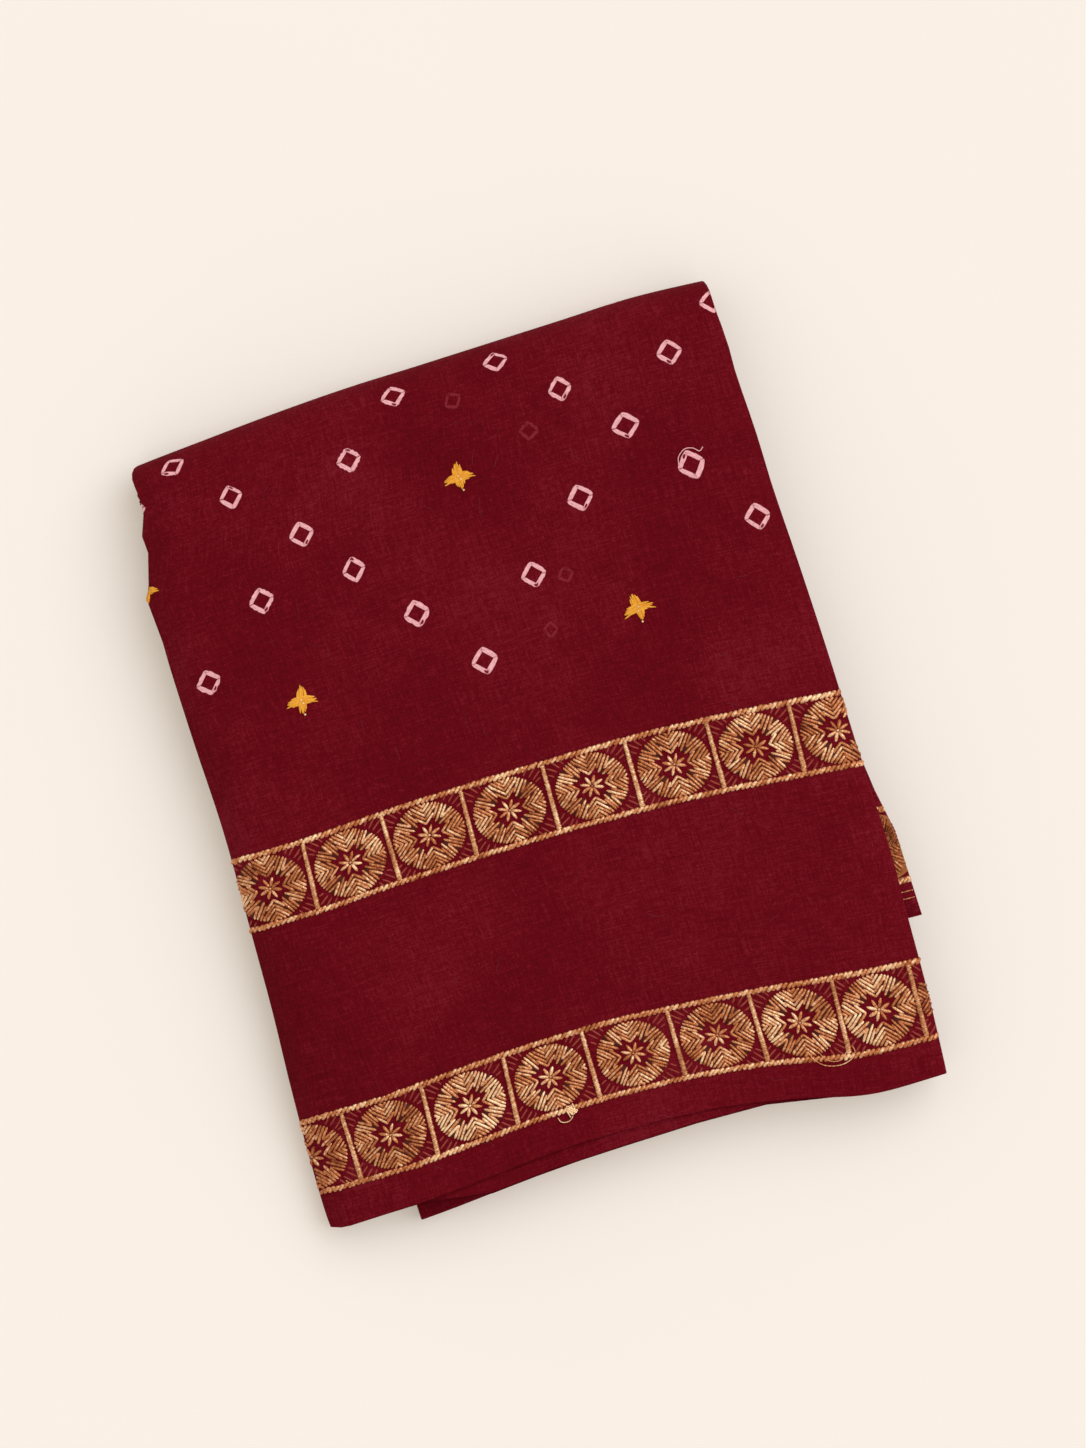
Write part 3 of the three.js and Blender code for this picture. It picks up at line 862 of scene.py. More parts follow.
def stitches(starts, ends, widths, heights, bows=0.0, blunt=5.0, sides=6, rows=7, tones=None, face=TOP):
    """Closed spindles on the cloth. Along one, t from 0 to 1, the middle runs from start to end and
    bows aside by 4 t (1 - t) bow. Its half width is width / 2 * sqrt(1 - |2t - 1|^blunt), so a high
    blunt gives round ends and 2 gives a leaf. Round it, the section is a flattened half circle:
    aside as cosine, up as sine to the power 0.8, and the underside sits just below the cloth.
    Returns points, quads, (across share, mm along), and a tone from 0 to 1 for each stitch."""
    starts, ends = np.asarray(starts, float), np.asarray(ends, float)
    count = len(starts)
    widths, heights, bows, blunt = (
        np.broadcast_to(np.asarray(values, float), (count,))[:, None, None]
        for values in (widths, heights, bows, blunt))
    t = (1 - np.cos(np.linspace(END_CUT, np.pi - END_CUT, rows))) / 2
    t = np.clip((t - t[0]) / (t[-1] - t[0]), 0, 1)[None, :, None]
    way = ends - starts
    length = np.maximum(np.linalg.norm(way, axis=-1), 1e-6)
    aside = np.stack([-way[:, 1], way[:, 0]], -1) / length[:, None]
    shape = np.sqrt(np.clip(1 - np.abs(2 * t - 1) ** blunt, 0.02, 1))
    turn = 2 * np.pi * np.arange(sides)[None, None, :] / sides + np.pi / sides
    over = widths / 2 * shape * np.cos(turn) + 4 * t * (1 - t) * bows
    up = np.where(np.sin(turn) > 0, heights * shape * np.abs(np.sin(turn)) ** 0.8, SUNK)
    across = starts[:, 0, None, None] + way[:, 0, None, None] * t + aside[:, 0, None, None] * over
    back = starts[:, 1, None, None] + way[:, 1, None, None] * t + aside[:, 1, None, None] * over
    points = on_cloth(across, back, up, face).reshape(-1, 3)
    faces = spindle_faces(rows, sides)[None] + (np.arange(count) * rows * sides)[:, None, None]
    share = np.broadcast_to(0.5 + np.cos(turn) / 2, over.shape)
    uv = np.stack([share, np.broadcast_to(t * length[:, None, None], over.shape)], -1).reshape(-1, 2)
    tones = rng.random(count) if tones is None else np.broadcast_to(tones, (count,))
    return points, faces.reshape(-1, 4), uv, np.repeat(tones, rows * sides)


print("faces of one plain stitch:", len(spindle_faces(7, 6)))

# %% [markdown]
# Padding and dyed rings are not threads but thin films. A film is spread between two loops, and its
# two sides and two rims are closed like the cloth's. Every result has the same four parts, so stitches
# and films can be joined into one piece.

# %% Films and pieces


def film(inner, outer, centre, back, shade, lift, bands):
    """A closed film over the cloth between two loops, given as offsets from (centre, back), and its
    shade at every point, as rows along the loop and bands from the inner loop to the outer."""
    around = len(inner)
    t = np.linspace(0, 1, bands)[None, :, None]
    flat = inner[:, None] + (outer - inner)[:, None] * t + (centre, back)
    sheets = [on_cloth(flat[..., 0], flat[..., 1], up).reshape(-1, 3) for up in (lift, -lift)]
    count = around * bands
    body = grid_faces(around + 1, bands) % count
    i = np.arange(around)
    rims = []
    for edge in (0, bands - 1):
        a, b = i * bands + edge, (i + 1) % around * bands + edge
        rims.append(np.stack([a, b, b + count, a + count], -1)[:, ::1 if edge else -1])
    points = np.concatenate(sheets)
    faces = outward(points, np.concatenate([body, body[:, ::-1] + count, *rims]))
    walk = np.cumsum(np.linalg.norm(np.diff(outer, axis=0, prepend=outer[-1:]), axis=1))
    uv = np.stack(np.broadcast_arrays(walk[:, None], t[..., 0]), -1).reshape(-1, 2)
    return points, faces, np.r_[uv, uv], np.r_[shade.ravel(), shade.ravel()]


def join(parts):
    """Several results of stitches or films as one."""
    start = np.cumsum([0] + [len(part[0]) for part in parts[:-1]])
    moved = [part[1] + first for part, first in zip(parts, start)]
    return (np.concatenate([part[0] for part in parts]), np.concatenate(moved),
            np.concatenate([part[2] for part in parts]), np.concatenate([part[3] for part in parts]))


def on_the_panel(starts, ends, spare=0.8):
    """Which stitches have their middle on the top panel, up to spare millimetres past its sides."""
    middle = (np.asarray(starts) + np.asarray(ends)) / 2
    left, right = edge_at(middle[:, 1], -1), edge_at(middle[:, 1], 1)
    return (middle[:, 0] > left - spare) & (middle[:, 0] < right + spare)


def sewn(name, result, material):
    """Makes one piece of stitches, which rides with the cloth and takes its slot."""
    points, faces, uv, tone = result
    piece = make_mesh(name, points, faces, uv, {"tone": tone}, material)
    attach(piece, "root")
    print(name, "has", len(faces), "faces")


print("middle of the top panel:", on_the_panel([(0.0, 130.0)], [(0.0, 130.0)]))

# %% [markdown]
# Zari is thread wrapped in gilded metal strip. It is not a solid metal: the wrap is broken up and the
# red core shows between its turns, so its colour runs from brown to gold, and pale specks over that
# are painted glints. The coloured cottons are mercerised, smooth and lightly glossy. Both get fine
# ridges: along a stitch that lies straight, or across one that is wound. In both, the ridges also
# lighten and darken the colour a little, which is painted shade.

# %% Gilded thread
PAINTED_GLINT, PATCH = 0.9, 9.0
ZARI_SLANT, COTTON_SLANT = 7.5, 5.0
ZARI_DARK_AT, ZARI_MID_AT, ZARI_LIGHT_AT = 0.2, 0.5, 0.76


def zari(name, dark, mid, light, ridge, lengthwise):
    """Gilded thread. Its tone is 0.75 painted glint + 0.5 patch + 0.45 own tone + 0.04 ridge - 0.34, and
    its roughness 0.55 - 0.3 glint. The glint part is painted glints, and the ridge part is painted shade
    in the grooves. The ridges are a sine across the stitch's share if lengthwise, otherwise along its
    millimetres, with a slant."""
    material, tree = new_material(name)
    place = node(tree, "TexCoord").outputs["Object"]
    split = node(tree, "SeparateXYZ", {0: node(tree, "UVMap", uv_map="cloth")})
    share, along = split.outputs[0], split.outputs[1]
    main, other = (share, along) if lengthwise else (along, share)
    own = node(tree, "Attribute", attribute_name="tone").outputs["Fac"]
    painted_glint = node(tree, "TexNoise", {"Vector": place, "Scale": 1 / (PAINTED_GLINT * MM), "Detail": 3.0})
    patch = node(tree, "TexNoise", {"Vector": place, "Scale": 1 / (PATCH * MM), "Detail": 1.0})
    turns = node(tree, "Math", {0: main, 1: 2 * np.pi / ridge}, operation="MULTIPLY")
    turns = node(tree, "Math", {0: other, 1: ZARI_SLANT, 2: turns}, operation="MULTIPLY_ADD")
    ridges = node(tree, "Math", {0: turns}, operation="SINE")
    # Painted light in the colour: glint specks lighten it, and the ridges lighten the crests and darken the
    # grooves as painted shade.
    tone = -0.34
    for part, weight in ((painted_glint, 0.75), (patch, 0.5), (own, 0.45), (ridges, 0.04)):
        tone = node(tree, "Math", {0: part, 1: weight, 2: tone}, operation="MULTIPLY_ADD")
    ramp = node(tree, "ValToRGB", {0: tone})
    ramp.color_ramp.elements[0].position = ZARI_DARK_AT
    ramp.color_ramp.elements[0].color = srgb(dark)
    ramp.color_ramp.elements[1].position = ZARI_LIGHT_AT
    ramp.color_ramp.elements[1].color = srgb(light)
    ramp.color_ramp.elements.new(ZARI_MID_AT).color = srgb(mid)
    relief = node(tree, "Math", {0: ridges, 1: 0.2, 2: painted_glint}, operation="MULTIPLY_ADD")
    bump = node(tree, "Bump", {"Height": relief, "Strength": 0.5, "Distance": RELIEF_HIGH * MM})
    rough = node(tree, "Math", {0: painted_glint, 1: -0.3, 2: 0.55}, operation="MULTIPLY_ADD")
    shader = node(tree, "BsdfPrincipled", {
        "Base Color": ramp, "Roughness": rough, "Normal": bump, "Metallic": 0.6})
    node(tree, "OutputMaterial", {"Surface": shader})
    return material


zari_stitch = zari("gilded_zari_stitch", "#76300f", "#c87c4a", "#ffe0b4", 0.34, True)
zari_wound = zari("gilded_zari_winding", "#7a3c22", "#c98a5a", "#ffe2b8", 0.5, False)
print("gilded threads:", zari_stitch.name, "and", zari_wound.name)

# %% Dyed thread
THREAD_SPECK = 0.7


def cotton_thread(name, dark, light, ridge):
    """Dyed thread. Its tone is 0.9 speck + 0.25 own tone + 0.14 ridge - 0.05, the ridge part being painted
    shade in the grooves, and its roughness 0.65 - 0.2 speck. The ridges are a sine along its millimetres
    with a slant."""
    material, tree = new_material(name)
    place = node(tree, "TexCoord").outputs["Object"]
    split = node(tree, "SeparateXYZ", {0: node(tree, "UVMap", uv_map="cloth")})
    own = node(tree, "Attribute", attribute_name="tone").outputs["Fac"]
    speck = node(tree, "TexNoise", {"Vector": place, "Scale": 1 / (THREAD_SPECK * MM), "Detail": 3.0})
    turns = node(tree, "Math", {0: split.outputs[1], 1: 2 * np.pi / ridge}, operation="MULTIPLY")
    turns = node(tree, "Math", {0: split.outputs[0], 1: COTTON_SLANT, 2: turns}, operation="MULTIPLY_ADD")
    ridges = node(tree, "Math", {0: turns}, operation="SINE")
    # The ridges in the colour are painted shade, darker in the grooves between turns of the twist.
    tone = -0.05
    for part, weight in ((speck, 0.9), (own, 0.25), (ridges, 0.14)):
        tone = node(tree, "Math", {0: part, 1: weight, 2: tone}, operation="MULTIPLY_ADD")
    colour = node(tree, "Mix", {"Factor": tone, "A": srgb(dark), "B": srgb(light)}, data_type="RGBA")
    relief = node(tree, "Math", {0: ridges, 1: 0.4, 2: speck}, operation="MULTIPLY_ADD")
    bump = node(tree, "Bump", {"Height": relief, "Strength": 0.5, "Distance": RELIEF_HIGH * MM})
    rough = node(tree, "Math", {0: speck, 1: -0.2, 2: 0.65}, operation="MULTIPLY_ADD")
    shader = node(tree, "BsdfPrincipled", {
        "Base Color": colour, "Normal": bump, "Roughness": rough, "Specular IOR Level": 0.15})
    node(tree, "OutputMaterial", {"Surface": shader})
    return material


padding = cotton_thread("brown_padding_thread", "#300806", "#5c1a0e", 0.5)
rose_thread = cotton_thread("rose_cotton_thread", "#6c181c", "#a84c3c", 0.4)
print("dyed threads:", padding.name, "and", rose_thread.name)

# %% [markdown]
# The border's repeat is a disc between two upright bars. A weaver charts one quarter and mirrors it,
# and so does this script. In a circle of radius 1 the chart holds an eight-pointed star left bare,
# an eight-petalled flower inside it, and gold strokes outside. At the four compass points the strokes
# meet in chevrons that open outwards, and between them they fan along the diagonals. A stroke is a
# line cut off where it leaves its field, which is found by sampling each line densely.

# %% One disc of the border, charted in a circle of radius 1
STAR_VALLEY = 0.31
STAR_EDGE = (0.182, 0.31)
TIP_ANGLE = 22.0
CHEVRON_GAP = 0.132
FAN_GAP = 0.094
FAN_TURN = 13.0
FIRST_CHEVRON, CHEVRONS = 0.05, 6
FAN_SPOT, FAN_LINES, FAN_MIDDLE = 0.12, 8, 3.95
LINE_FROM, LINE_TO, LINE_SAMPLES, LINE_SHORTEST = -0.2, 1.3, 600, 24
RIM = 0.995


def star_radius(angle):
    """How far the star reaches at an angle. Folded into one eighth, it ends at the nearer of the lines
    p - q = 0.31 and q + 0.182 p = 0.31."""
    folded = np.abs((angle + np.pi / 4) % (np.pi / 2) - np.pi / 4)
    c, s = np.cos(folded), np.sin(folded)
    return np.minimum(STAR_VALLEY / np.maximum(c - s, 1e-3), STAR_EDGE[1] / (s + STAR_EDGE[0] * c))


def clipped(origins, direction, low_angle, high_angle):
    """The first and last sample of each line origin + s * direction that lies inside the circle,
    outside the star and between two angles. Lines with no more than 24 such samples are left out."""
    s = np.linspace(LINE_FROM, LINE_TO, LINE_SAMPLES)
    p = origins[:, 0, None] + s * direction[0]
    q = origins[:, 1, None] + s * direction[1]
    radius, angle = np.hypot(p, q), np.arctan2(q, p)
    field = (radius < RIM) & (radius > star_radius(angle))
    field = field & (np.degrees(angle) > low_angle) & (np.degrees(angle) < high_angle)
    kept = field.sum(1) > LINE_SHORTEST
    rows, first = np.arange(len(origins)), field.argmax(1)
    last = len(s) - 1 - field[:, ::-1].argmax(1)
    starts = np.stack([p[rows, first], q[rows, first]], -1)
    ends = np.stack([p[rows, last], q[rows, last]], -1)
    return starts[kept], ends[kept]


print("star's reach at 0, 22 and 45 degrees:", np.round(star_radius(np.radians([0, TIP_ANGLE, 45])), 2))

# %% Strokes and petals of a disc
PETAL_FROM, PETAL_TO = 0.05, 0.33


def eighth():
    """Strokes of the eighth between the level axis and the diagonal: chevrons start along the axis at
    even gaps and slant at 45 degrees, and fan lines lie side by side, 13 degrees off the diagonal."""
    slant = np.radians(45)
    spots = STAR_VALLEY + FIRST_CHEVRON + CHEVRON_GAP * np.arange(CHEVRONS)
    chevron = clipped(np.stack([spots, 0 * spots], -1), (np.cos(slant), np.sin(slant)), -2.5, TIP_ANGLE + 1)
    fan_angle = np.radians(45 - FAN_TURN)
    aside = FAN_GAP * (np.arange(FAN_LINES) - FAN_MIDDLE)
    c, s = np.cos(fan_angle), np.sin(fan_angle)
    fan = clipped(np.stack([FAN_SPOT + aside * s, FAN_SPOT - aside * c], -1), (c, s), TIP_ANGLE - 1, 44.5)
    return np.r_[chevron[0], fan[0]], np.r_[chevron[1], fan[1]]


def mirrored(one):
    """Lines of one quarter in all four."""
    return np.concatenate([one * np.array(sign) for sign in ((1, 1), (-1, 1), (-1, -1), (1, -1))])


one_eighth = np.stack(eighth(), 1)
disc_chart = mirrored(np.concatenate([one_eighth, one_eighth[..., ::-1]]))
petal_angle = np.radians(22.5 + 45 * np.arange(8))
petal_way = np.stack([np.cos(petal_angle), np.sin(petal_angle)], -1)
petal_chart = np.stack([petal_way * PETAL_FROM, petal_way * PETAL_TO], 1)
print("strokes in a disc:", len(disc_chart), "petals:", len(petal_chart))

# %% [markdown]
# Two borders run across the top panel, each with discs at every 30 mm. The bars between them are
# listed one by one, and a disc sits half way between two bars. Under the strokes
# lies a brown padding in the shape of the disc less its star, so that no red shows between strokes.
# Hand and loom both wander, so every stroke gets a slightly different end, width and height from a
# seeded draw. Each disc also gets its own share of painted light, for discs that catch more or less light.

# %% Places and padding of the discs
LOWER_BARS = np.array([-129.0, -99.1, -69.5, -38.75, -8.6, 22.9, 52.7, 82.1, 110.2, 137.5]) + frame_shift[0]
UPPER_BARS = np.array([-118.0, -88.0, -57.7, -28.4, 2.3, 33.0, 63.0, 92.7, 122.5]) + frame_shift[0]
FIELDS = ((LOWER_BARS, BORDERS[0]), (UPPER_BARS, BORDERS[1]))
PAD_STEPS, PAD_BANDS, PAD_HIGH = 96, 4, 0.08
PAD_INNER, PAD_OUTER, PAD_SEEN = 0.02, 0.97, 0.2


def disc_places(bars, border):
    """Middles of the discs between bars, as (across, run)."""
    return np.stack([(bars[:-1] + bars[1:]) / 2, np.full(len(bars) - 1, sum(border) / 2)], -1)


def disc_padding(bars, border):
    """A film for each disc, from just outside its star's edge to 0.97 of its radius. A disc gets one
    if its middle lies on the panel, at least a fifth of its radius inside."""
    angle = np.linspace(0, 2 * np.pi, PAD_STEPS, endpoint=False)
    way = np.stack([np.cos(angle), np.sin(angle)], -1) * (DISC_ACROSS, DISC_ALONG)
    inner, outer = way * (star_radius(angle) + PAD_INNER)[:, None], way * PAD_OUTER
    shade = np.full((PAD_STEPS, PAD_BANDS), 0.5)
    return [film(inner, outer, x, y, shade, PAD_HIGH, PAD_BANDS) for x, y in disc_places(bars, border)
            if on_the_panel([(x, y)], [(x, y)], -DISC_ACROSS * PAD_SEEN)[0]]


sewn("brown_disc_padding", join([part for field in FIELDS for part in disc_padding(*field)]), padding)

# %% Stitches of the discs
# Painted light: amounts that lighten or darken all strokes of a disc, for discs that catch more or less
# light. The last lower disc, which wraps round the right fold, is darkened most.
LOWER_PAINTED_LIGHT = (-0.1, 0.0, 0.22, 0.1, 0.03, 0.0, 0.05, 0.12, -0.3)
UPPER_PAINTED_LIGHT = (-0.05, 0.02, 0.05, 0.0, 0.06, 0.0, 0.02, -0.02)
HEART = np.array([[(-0.04, 0), (0.04, 0)]])
DISC_PARTS = (
    # chart, looseness, width, height, bluntness
    (disc_chart, 0.06, 1.08, 0.64, 9.0),
    (petal_chart, 0.06, 1.32, 0.6, 2.6),
    (HEART, 0.02, 1.0, 0.65, 2.5),
)
PEEK_SEEN, PEEK_SHORTEST = 0.8, 0.4


def clear_of_panel(starts, ends):
    """Lines cut off where the top panel covers them, 0.8 mm inside its right edge, and which of them
    are then still longer than 0.4 mm."""
    limit = edge_at((starts[:, 1] + ends[:, 1]) / 2, 1) - PEEK_SEEN
    way = ends - starts
    t = (limit - starts[:, 0]) / np.where(np.abs(way[:, 0]) < 1e-6, 1e-6, way[:, 0])
    crossing = starts + way * np.clip(t, 0, 1)[:, None]
    cut_starts = np.where((starts[:, 0] < limit)[:, None], crossing, starts)
    cut_ends = np.where((ends[:, 0] < limit)[:, None], crossing, ends)
    return cut_starts, cut_ends, np.linalg.norm(cut_ends - cut_starts, axis=1) > PEEK_SHORTEST


def discs(bars, border, light, face=TOP, panel=True):
    """Strokes, petals and hearts of all discs, moved from the chart into place. A stitch's tone is
    0.2 + 0.55 * its draw + its disc's painted light, its width varies by 8% and its height by 20%."""
    place = disc_places(bars, border)
    size = np.array([DISC_ACROSS, DISC_ALONG])
    parts = []
    for chart, loose, wide, high, blunt in DISC_PARTS:
        lines = (chart[None] * size + place[:, None, None]).reshape(-1, 2, 2)
        lines = lines + rng.normal(0, loose, lines.shape)
        # Painted light: the disc's listed amount lightens or darkens all of its strokes.
        tones = rng.random(len(lines)) * 0.55 + 0.2 + np.repeat(light, len(chart))
        wide = wide * rng.uniform(0.92, 1.08, len(lines))
        high = high * rng.uniform(0.8, 1.2, len(lines))
        bow = rng.normal(0, 0.06, len(lines))
        starts, ends = lines[:, 0], lines[:, 1]
        if panel:
            kept = on_the_panel(starts, ends)
        else:
            starts, ends, kept = clear_of_panel(starts, ends)
        parts.append(stitches(starts[kept], ends[kept], wide[kept], high[kept], bow[kept], blunt,
                              tones=np.clip(tones[kept], 0, 1), face=face))
    return parts


lower_discs, upper_discs = discs(*FIELDS[0], LOWER_PAINTED_LIGHT), discs(*FIELDS[1], UPPER_PAINTED_LIGHT)
sewn("zari_discs", join(lower_discs + upper_discs), zari_stitch)

# %% [markdown]
# Each border is edged by two ropes: short thick strokes set aslant, each lapping the next. The bars
# are padded: a round cord with thread wound over it, turn beside turn. In the four corners of each
# cell a few rose threads point away from the disc.

# %% Rope edges
ROPE_PITCH, ROPE_LONG, ROPE_WIDE, ROPE_HIGH, ROPE_SLANT = 1.8, 3.2, 1.48, 0.8, 34.0
ROPE_ENDS = (-122.0, 122.0)


def ropes(border, low, high, face=TOP, panel=True):
    """Two twisted edges: strokes 1.8 mm apart, slanted 34 degrees, so that each laps the next. The
    draws vary the slant by 3 degrees, a stroke's place by 0.08 mm and its sizes by a tenth or so."""
    parts = []
    for back in (border[0] + ROPE / 2, border[1] - ROPE / 2):
        across = np.arange(low, high, ROPE_PITCH) + rng.uniform(0, 1)
        count = len(across)
        slant = np.radians(ROPE_SLANT + rng.normal(0, 3, count))
        half = ROPE_LONG / 2 * np.stack([np.cos(slant), np.sin(slant)], -1)
        half = half * rng.uniform(0.9, 1.08, (count, 1))
        middle = np.stack([across + rng.normal(0, 0.08, count), back + rng.normal(0, 0.07, count)], -1)
        starts, ends = middle - half, middle + half
        if panel:
            kept = on_the_panel(starts, ends, 0.3)
        else:
            starts, ends, kept = clear_of_panel(starts, ends)
        starts, ends, count = starts[kept], ends[kept], int(kept.sum())
        parts.append(stitches(starts, ends, ROPE_WIDE * rng.uniform(0.9, 1.12, count),
                              ROPE_HIGH * rng.uniform(0.8, 1.15, count), rng.normal(0.12, 0.05, count),
                              blunt=4.0, tones=0.3 + 0.5 * rng.random(count), face=face))
    return parts


edges = [part for field in FIELDS for part in ropes(field[1], *ROPE_ENDS)]
sewn("zari_rope_edges", join(edges), zari_stitch)

# %% Padded bars
CORD_WIDE, CORD_HIGH = 1.5, 0.75
WIND_PITCH, WIND_WIDE, WIND_LONG, WIND_HIGH = 0.62, 1.15, 2.0, 0.9
WIND_NARROWS, WIND_SLANT = 0.22, 0.22
WIND_START, WIND_STOP = 0.5, 0.2


def upright_bars(bars, border):
    """For each bar a leaning cord, and turns wound across it every 0.62 mm, each with a slight slant.
    The turns narrow evenly towards the far end, to 0.78 of their length. Tone is 0.42 + 0.22 * draw."""
    cords, turns = [], []
    start, end = border[0] + ROPE * 0.9, border[1] - ROPE * 0.8
    for across in bars:
        lean = rng.normal(0, 0.25)
        if not on_the_panel([(across - lean, start)], [(across + lean, end)], 0.0)[0]:
            continue
        cords.append(stitches([(across - lean, start)], [(across + lean, end)], CORD_WIDE, CORD_HIGH,
                              blunt=7.0, sides=8, rows=16))
        back = np.arange(start + WIND_START, end - WIND_STOP, WIND_PITCH)
        share = (back - start) / (end - start)
        middle = across - lean + 2 * lean * share + rng.normal(0, 0.05, len(back))
        half = WIND_LONG / 2 * (1 - WIND_NARROWS * share) * rng.uniform(0.94, 1.06, len(back))
        rise = rng.normal(WIND_SLANT, 0.06, len(back))
        turns.append(stitches(np.stack([middle - half, back - rise], -1),
                              np.stack([middle + half, back + rise], -1), WIND_WIDE, WIND_HIGH,
                              blunt=3.4, sides=8, tones=0.42 + 0.22 * rng.random(len(back))))
    return cords + turns


sewn("zari_bars", join([part for field in FIELDS for part in upright_bars(*field)]), zari_wound)

# %% Strokes in the corners
CORNER_ANGLES = np.radians([33.0, 40.5, 48.0, 55.5])
CORNER_START = 1.05
CORNER_REACH = np.array([1.24, 1.4, 1.42, 1.26])
CORNER_WIDE, CORNER_HIGH = 0.76, 0.26


def corner_strokes(bars, border):
    """Four fine strokes in each corner of each cell, at angles about the diagonal, from 1.05 of the
    disc's radius out to their own reach."""
    way = np.stack([np.cos(CORNER_ANGLES), np.sin(CORNER_ANGLES)], -1)
    chart = mirrored(np.stack([way * CORNER_START, way * CORNER_REACH[:, None]], 1))
    place = disc_places(bars, border)
    lines = (chart[None] * (DISC_ACROSS, DISC_ALONG) + place[:, None, None]).reshape(-1, 2, 2)
    lines = lines + rng.normal(0, 0.16, lines.shape)
    kept = lines[on_the_panel(lines[:, 0], lines[:, 1], 0.2)]
    return [stitches(kept[:, 0], kept[:, 1], CORNER_WIDE, CORNER_HIGH,
                     rng.normal(0, 0.12, len(kept)), blunt=4.0, rows=5)]


corners = join([part for field in FIELDS for part in corner_strokes(*field)])
sewn("rose_corner_strokes", corners, rose_thread)

# %% [markdown]
# The sheet that sticks out at the right shows the end of its own border: part of a disc, the ropes,
# and two single gold lines near its woven edge. The same functions sew them on that face, and only
# what lies clear of the top panel is kept.

# %% Border of the sheet at the right
PEEK_DISC = 109.0
PEEK_BORDER = (BORDERS[0][0] + INNER_EDGE_RUN, BORDERS[0][1] + INNER_EDGE_RUN)
PEEK_LINES = (9.1, 6.6)
# Painted shade: the strokes of the disc on the sheet below are darkened, for the shade it lies in beside
# the top panel.
PEEK_PAINTED_SHADE = -0.45
PEEK_ROPE_ENDS = (100.0, 122.0)
LINE_SPOTS = np.arange(100.0, 121.0, 3.0)
LINE_WAY = (3.0, 0.1)
LINE_WIDE, LINE_HIGH, LINE_TONE = 0.42, 0.2, 0.6


def single_lines():
    """Thin gold threads along the sheet's edge, as stitches end to end."""
    parts = []
    for line in PEEK_LINES:
        starts = np.stack([LINE_SPOTS, np.full(len(LINE_SPOTS), INNER_EDGE_RUN + line)], -1)
        starts, ends, kept = clear_of_panel(starts, starts + LINE_WAY)
        parts.append(stitches(starts[kept], ends[kept], LINE_WIDE, LINE_HIGH, blunt=8.0, rows=5,
                              tones=LINE_TONE, face=PEEKING))
    return parts


peek_bars = np.array([PEEK_DISC - CELL / 2, PEEK_DISC + CELL / 2])
peeking = discs(peek_bars, PEEK_BORDER, (PEEK_PAINTED_SHADE,), PEEKING, False)
peeking += ropes(PEEK_BORDER, *PEEK_ROPE_ENDS, PEEKING, False) + single_lines()
sewn("zari_of_the_sheet_below", join(peeking), zari_stitch)

# %% [markdown]
# Sungudi dots are tied: a pinch of cloth is bound with thread before dyeing, and the bound ring stays
# pale. Untied, each leaves a small lozenge of four straight bands, with thin dark lines across where
# two bands meet and a dark nick where the thread was pulled through. It is colour in the cloth and not
# a thing on it, so it is a film 0.05 mm over the surface that carries its own shade.

# %% Where the rings lie
RINGS = np.array([
    # x, y, wide, tall, turn, nick angle
    (-97.9, 131.7, 9.8, 8.0, 16, 200), (-80.3, 115.9, 8.8, 9.0, 0, 75), (-59.4, 96.2, 9.4, 9.6, 0, 290),
    (-36.2, 117.7, 9.2, 9.0, 0, 80), (-15.1, 135.7, 9.6, 8.4, 4, 260), (23.6, 138.3, 9.6, 8.4, 0, 100),
    (43.1, 122.7, 9.0, 9.2, 0, 290), (62.5, 103.9, 10.8, 9.6, 0, 262), (84.5, 125.3, 9.6, 9.0, 0, 250),
    (81.6, 84.3, 10.2, 10.6, 8, 110), (99.6, 60.3, 9.6, 9.6, 0, 285), (40.3, 83.2, 10.0, 9.8, 4, 285),
    (17.0, 61.0, 9.6, 9.6, 0, 270), (-44.7, 79.3, 8.8, 9.4, 0, 85), (-27.0, 58.3, 9.6, 9.8, 0, 290),
    (-7.9, 35.8, 9.8, 9.8, 0, 265), (-79.3, 77.1, 9.6, 9.6, 0, 285), (-105.1, 53.7, 9.4, 9.2, 4, 300),
    (103.8, 139.1, 9.4, 9.6, 0, 30), (69.3, 150.8, 9.0, 9.0, 0, 80), (-115.2, 120.5, 8.6, 8.6, 0, 80),
])
FAINT_RINGS = np.array([
    (5.1, 128.5, 7.2, 6.6, 20, 90), (28.6, 111.1, 7.6, 7.0, -12, 120),
    (28.0, 58.0, 6.4, 5.8, 8, 60), (17.8, 40.4, 5.6, 6.0, -10, 200),
])
FILM = 0.05
print("rings:", len(RINGS), "faint ones:", len(FAINT_RINGS))

# %% Outline and shade of a ring
RING_STEPS, RING_BANDS = 120, 9
OUTER_OVER, INNER_WIDE, INNER_TALL = 1.13, 0.345, 0.325
CORNER_SHARP = 9.0
WOBBLE, FULL_TURN = 0.05, 6.28
PALE = 0.92
MARKS = ((0, 0.8), (180, 0.8), (90, 0.45), (270, 0.45))
MARK_WIDE = 0.19
NICK_LONG, NICK_AT, NICK_WIDE, NICK_DEEP = 0.85, 0.56, 0.28, 1.1
RIM_FROM, RIM_DEEP = 0.86, 0.3


def wobble(angle, waves):
    """A sum of sines round the ring, each with its own drawn height of about 0.05 mm and start."""
    return sum(rng.normal(0, WOBBLE) * np.sin(k * angle + rng.uniform(0, FULL_TURN)) for k in waves)


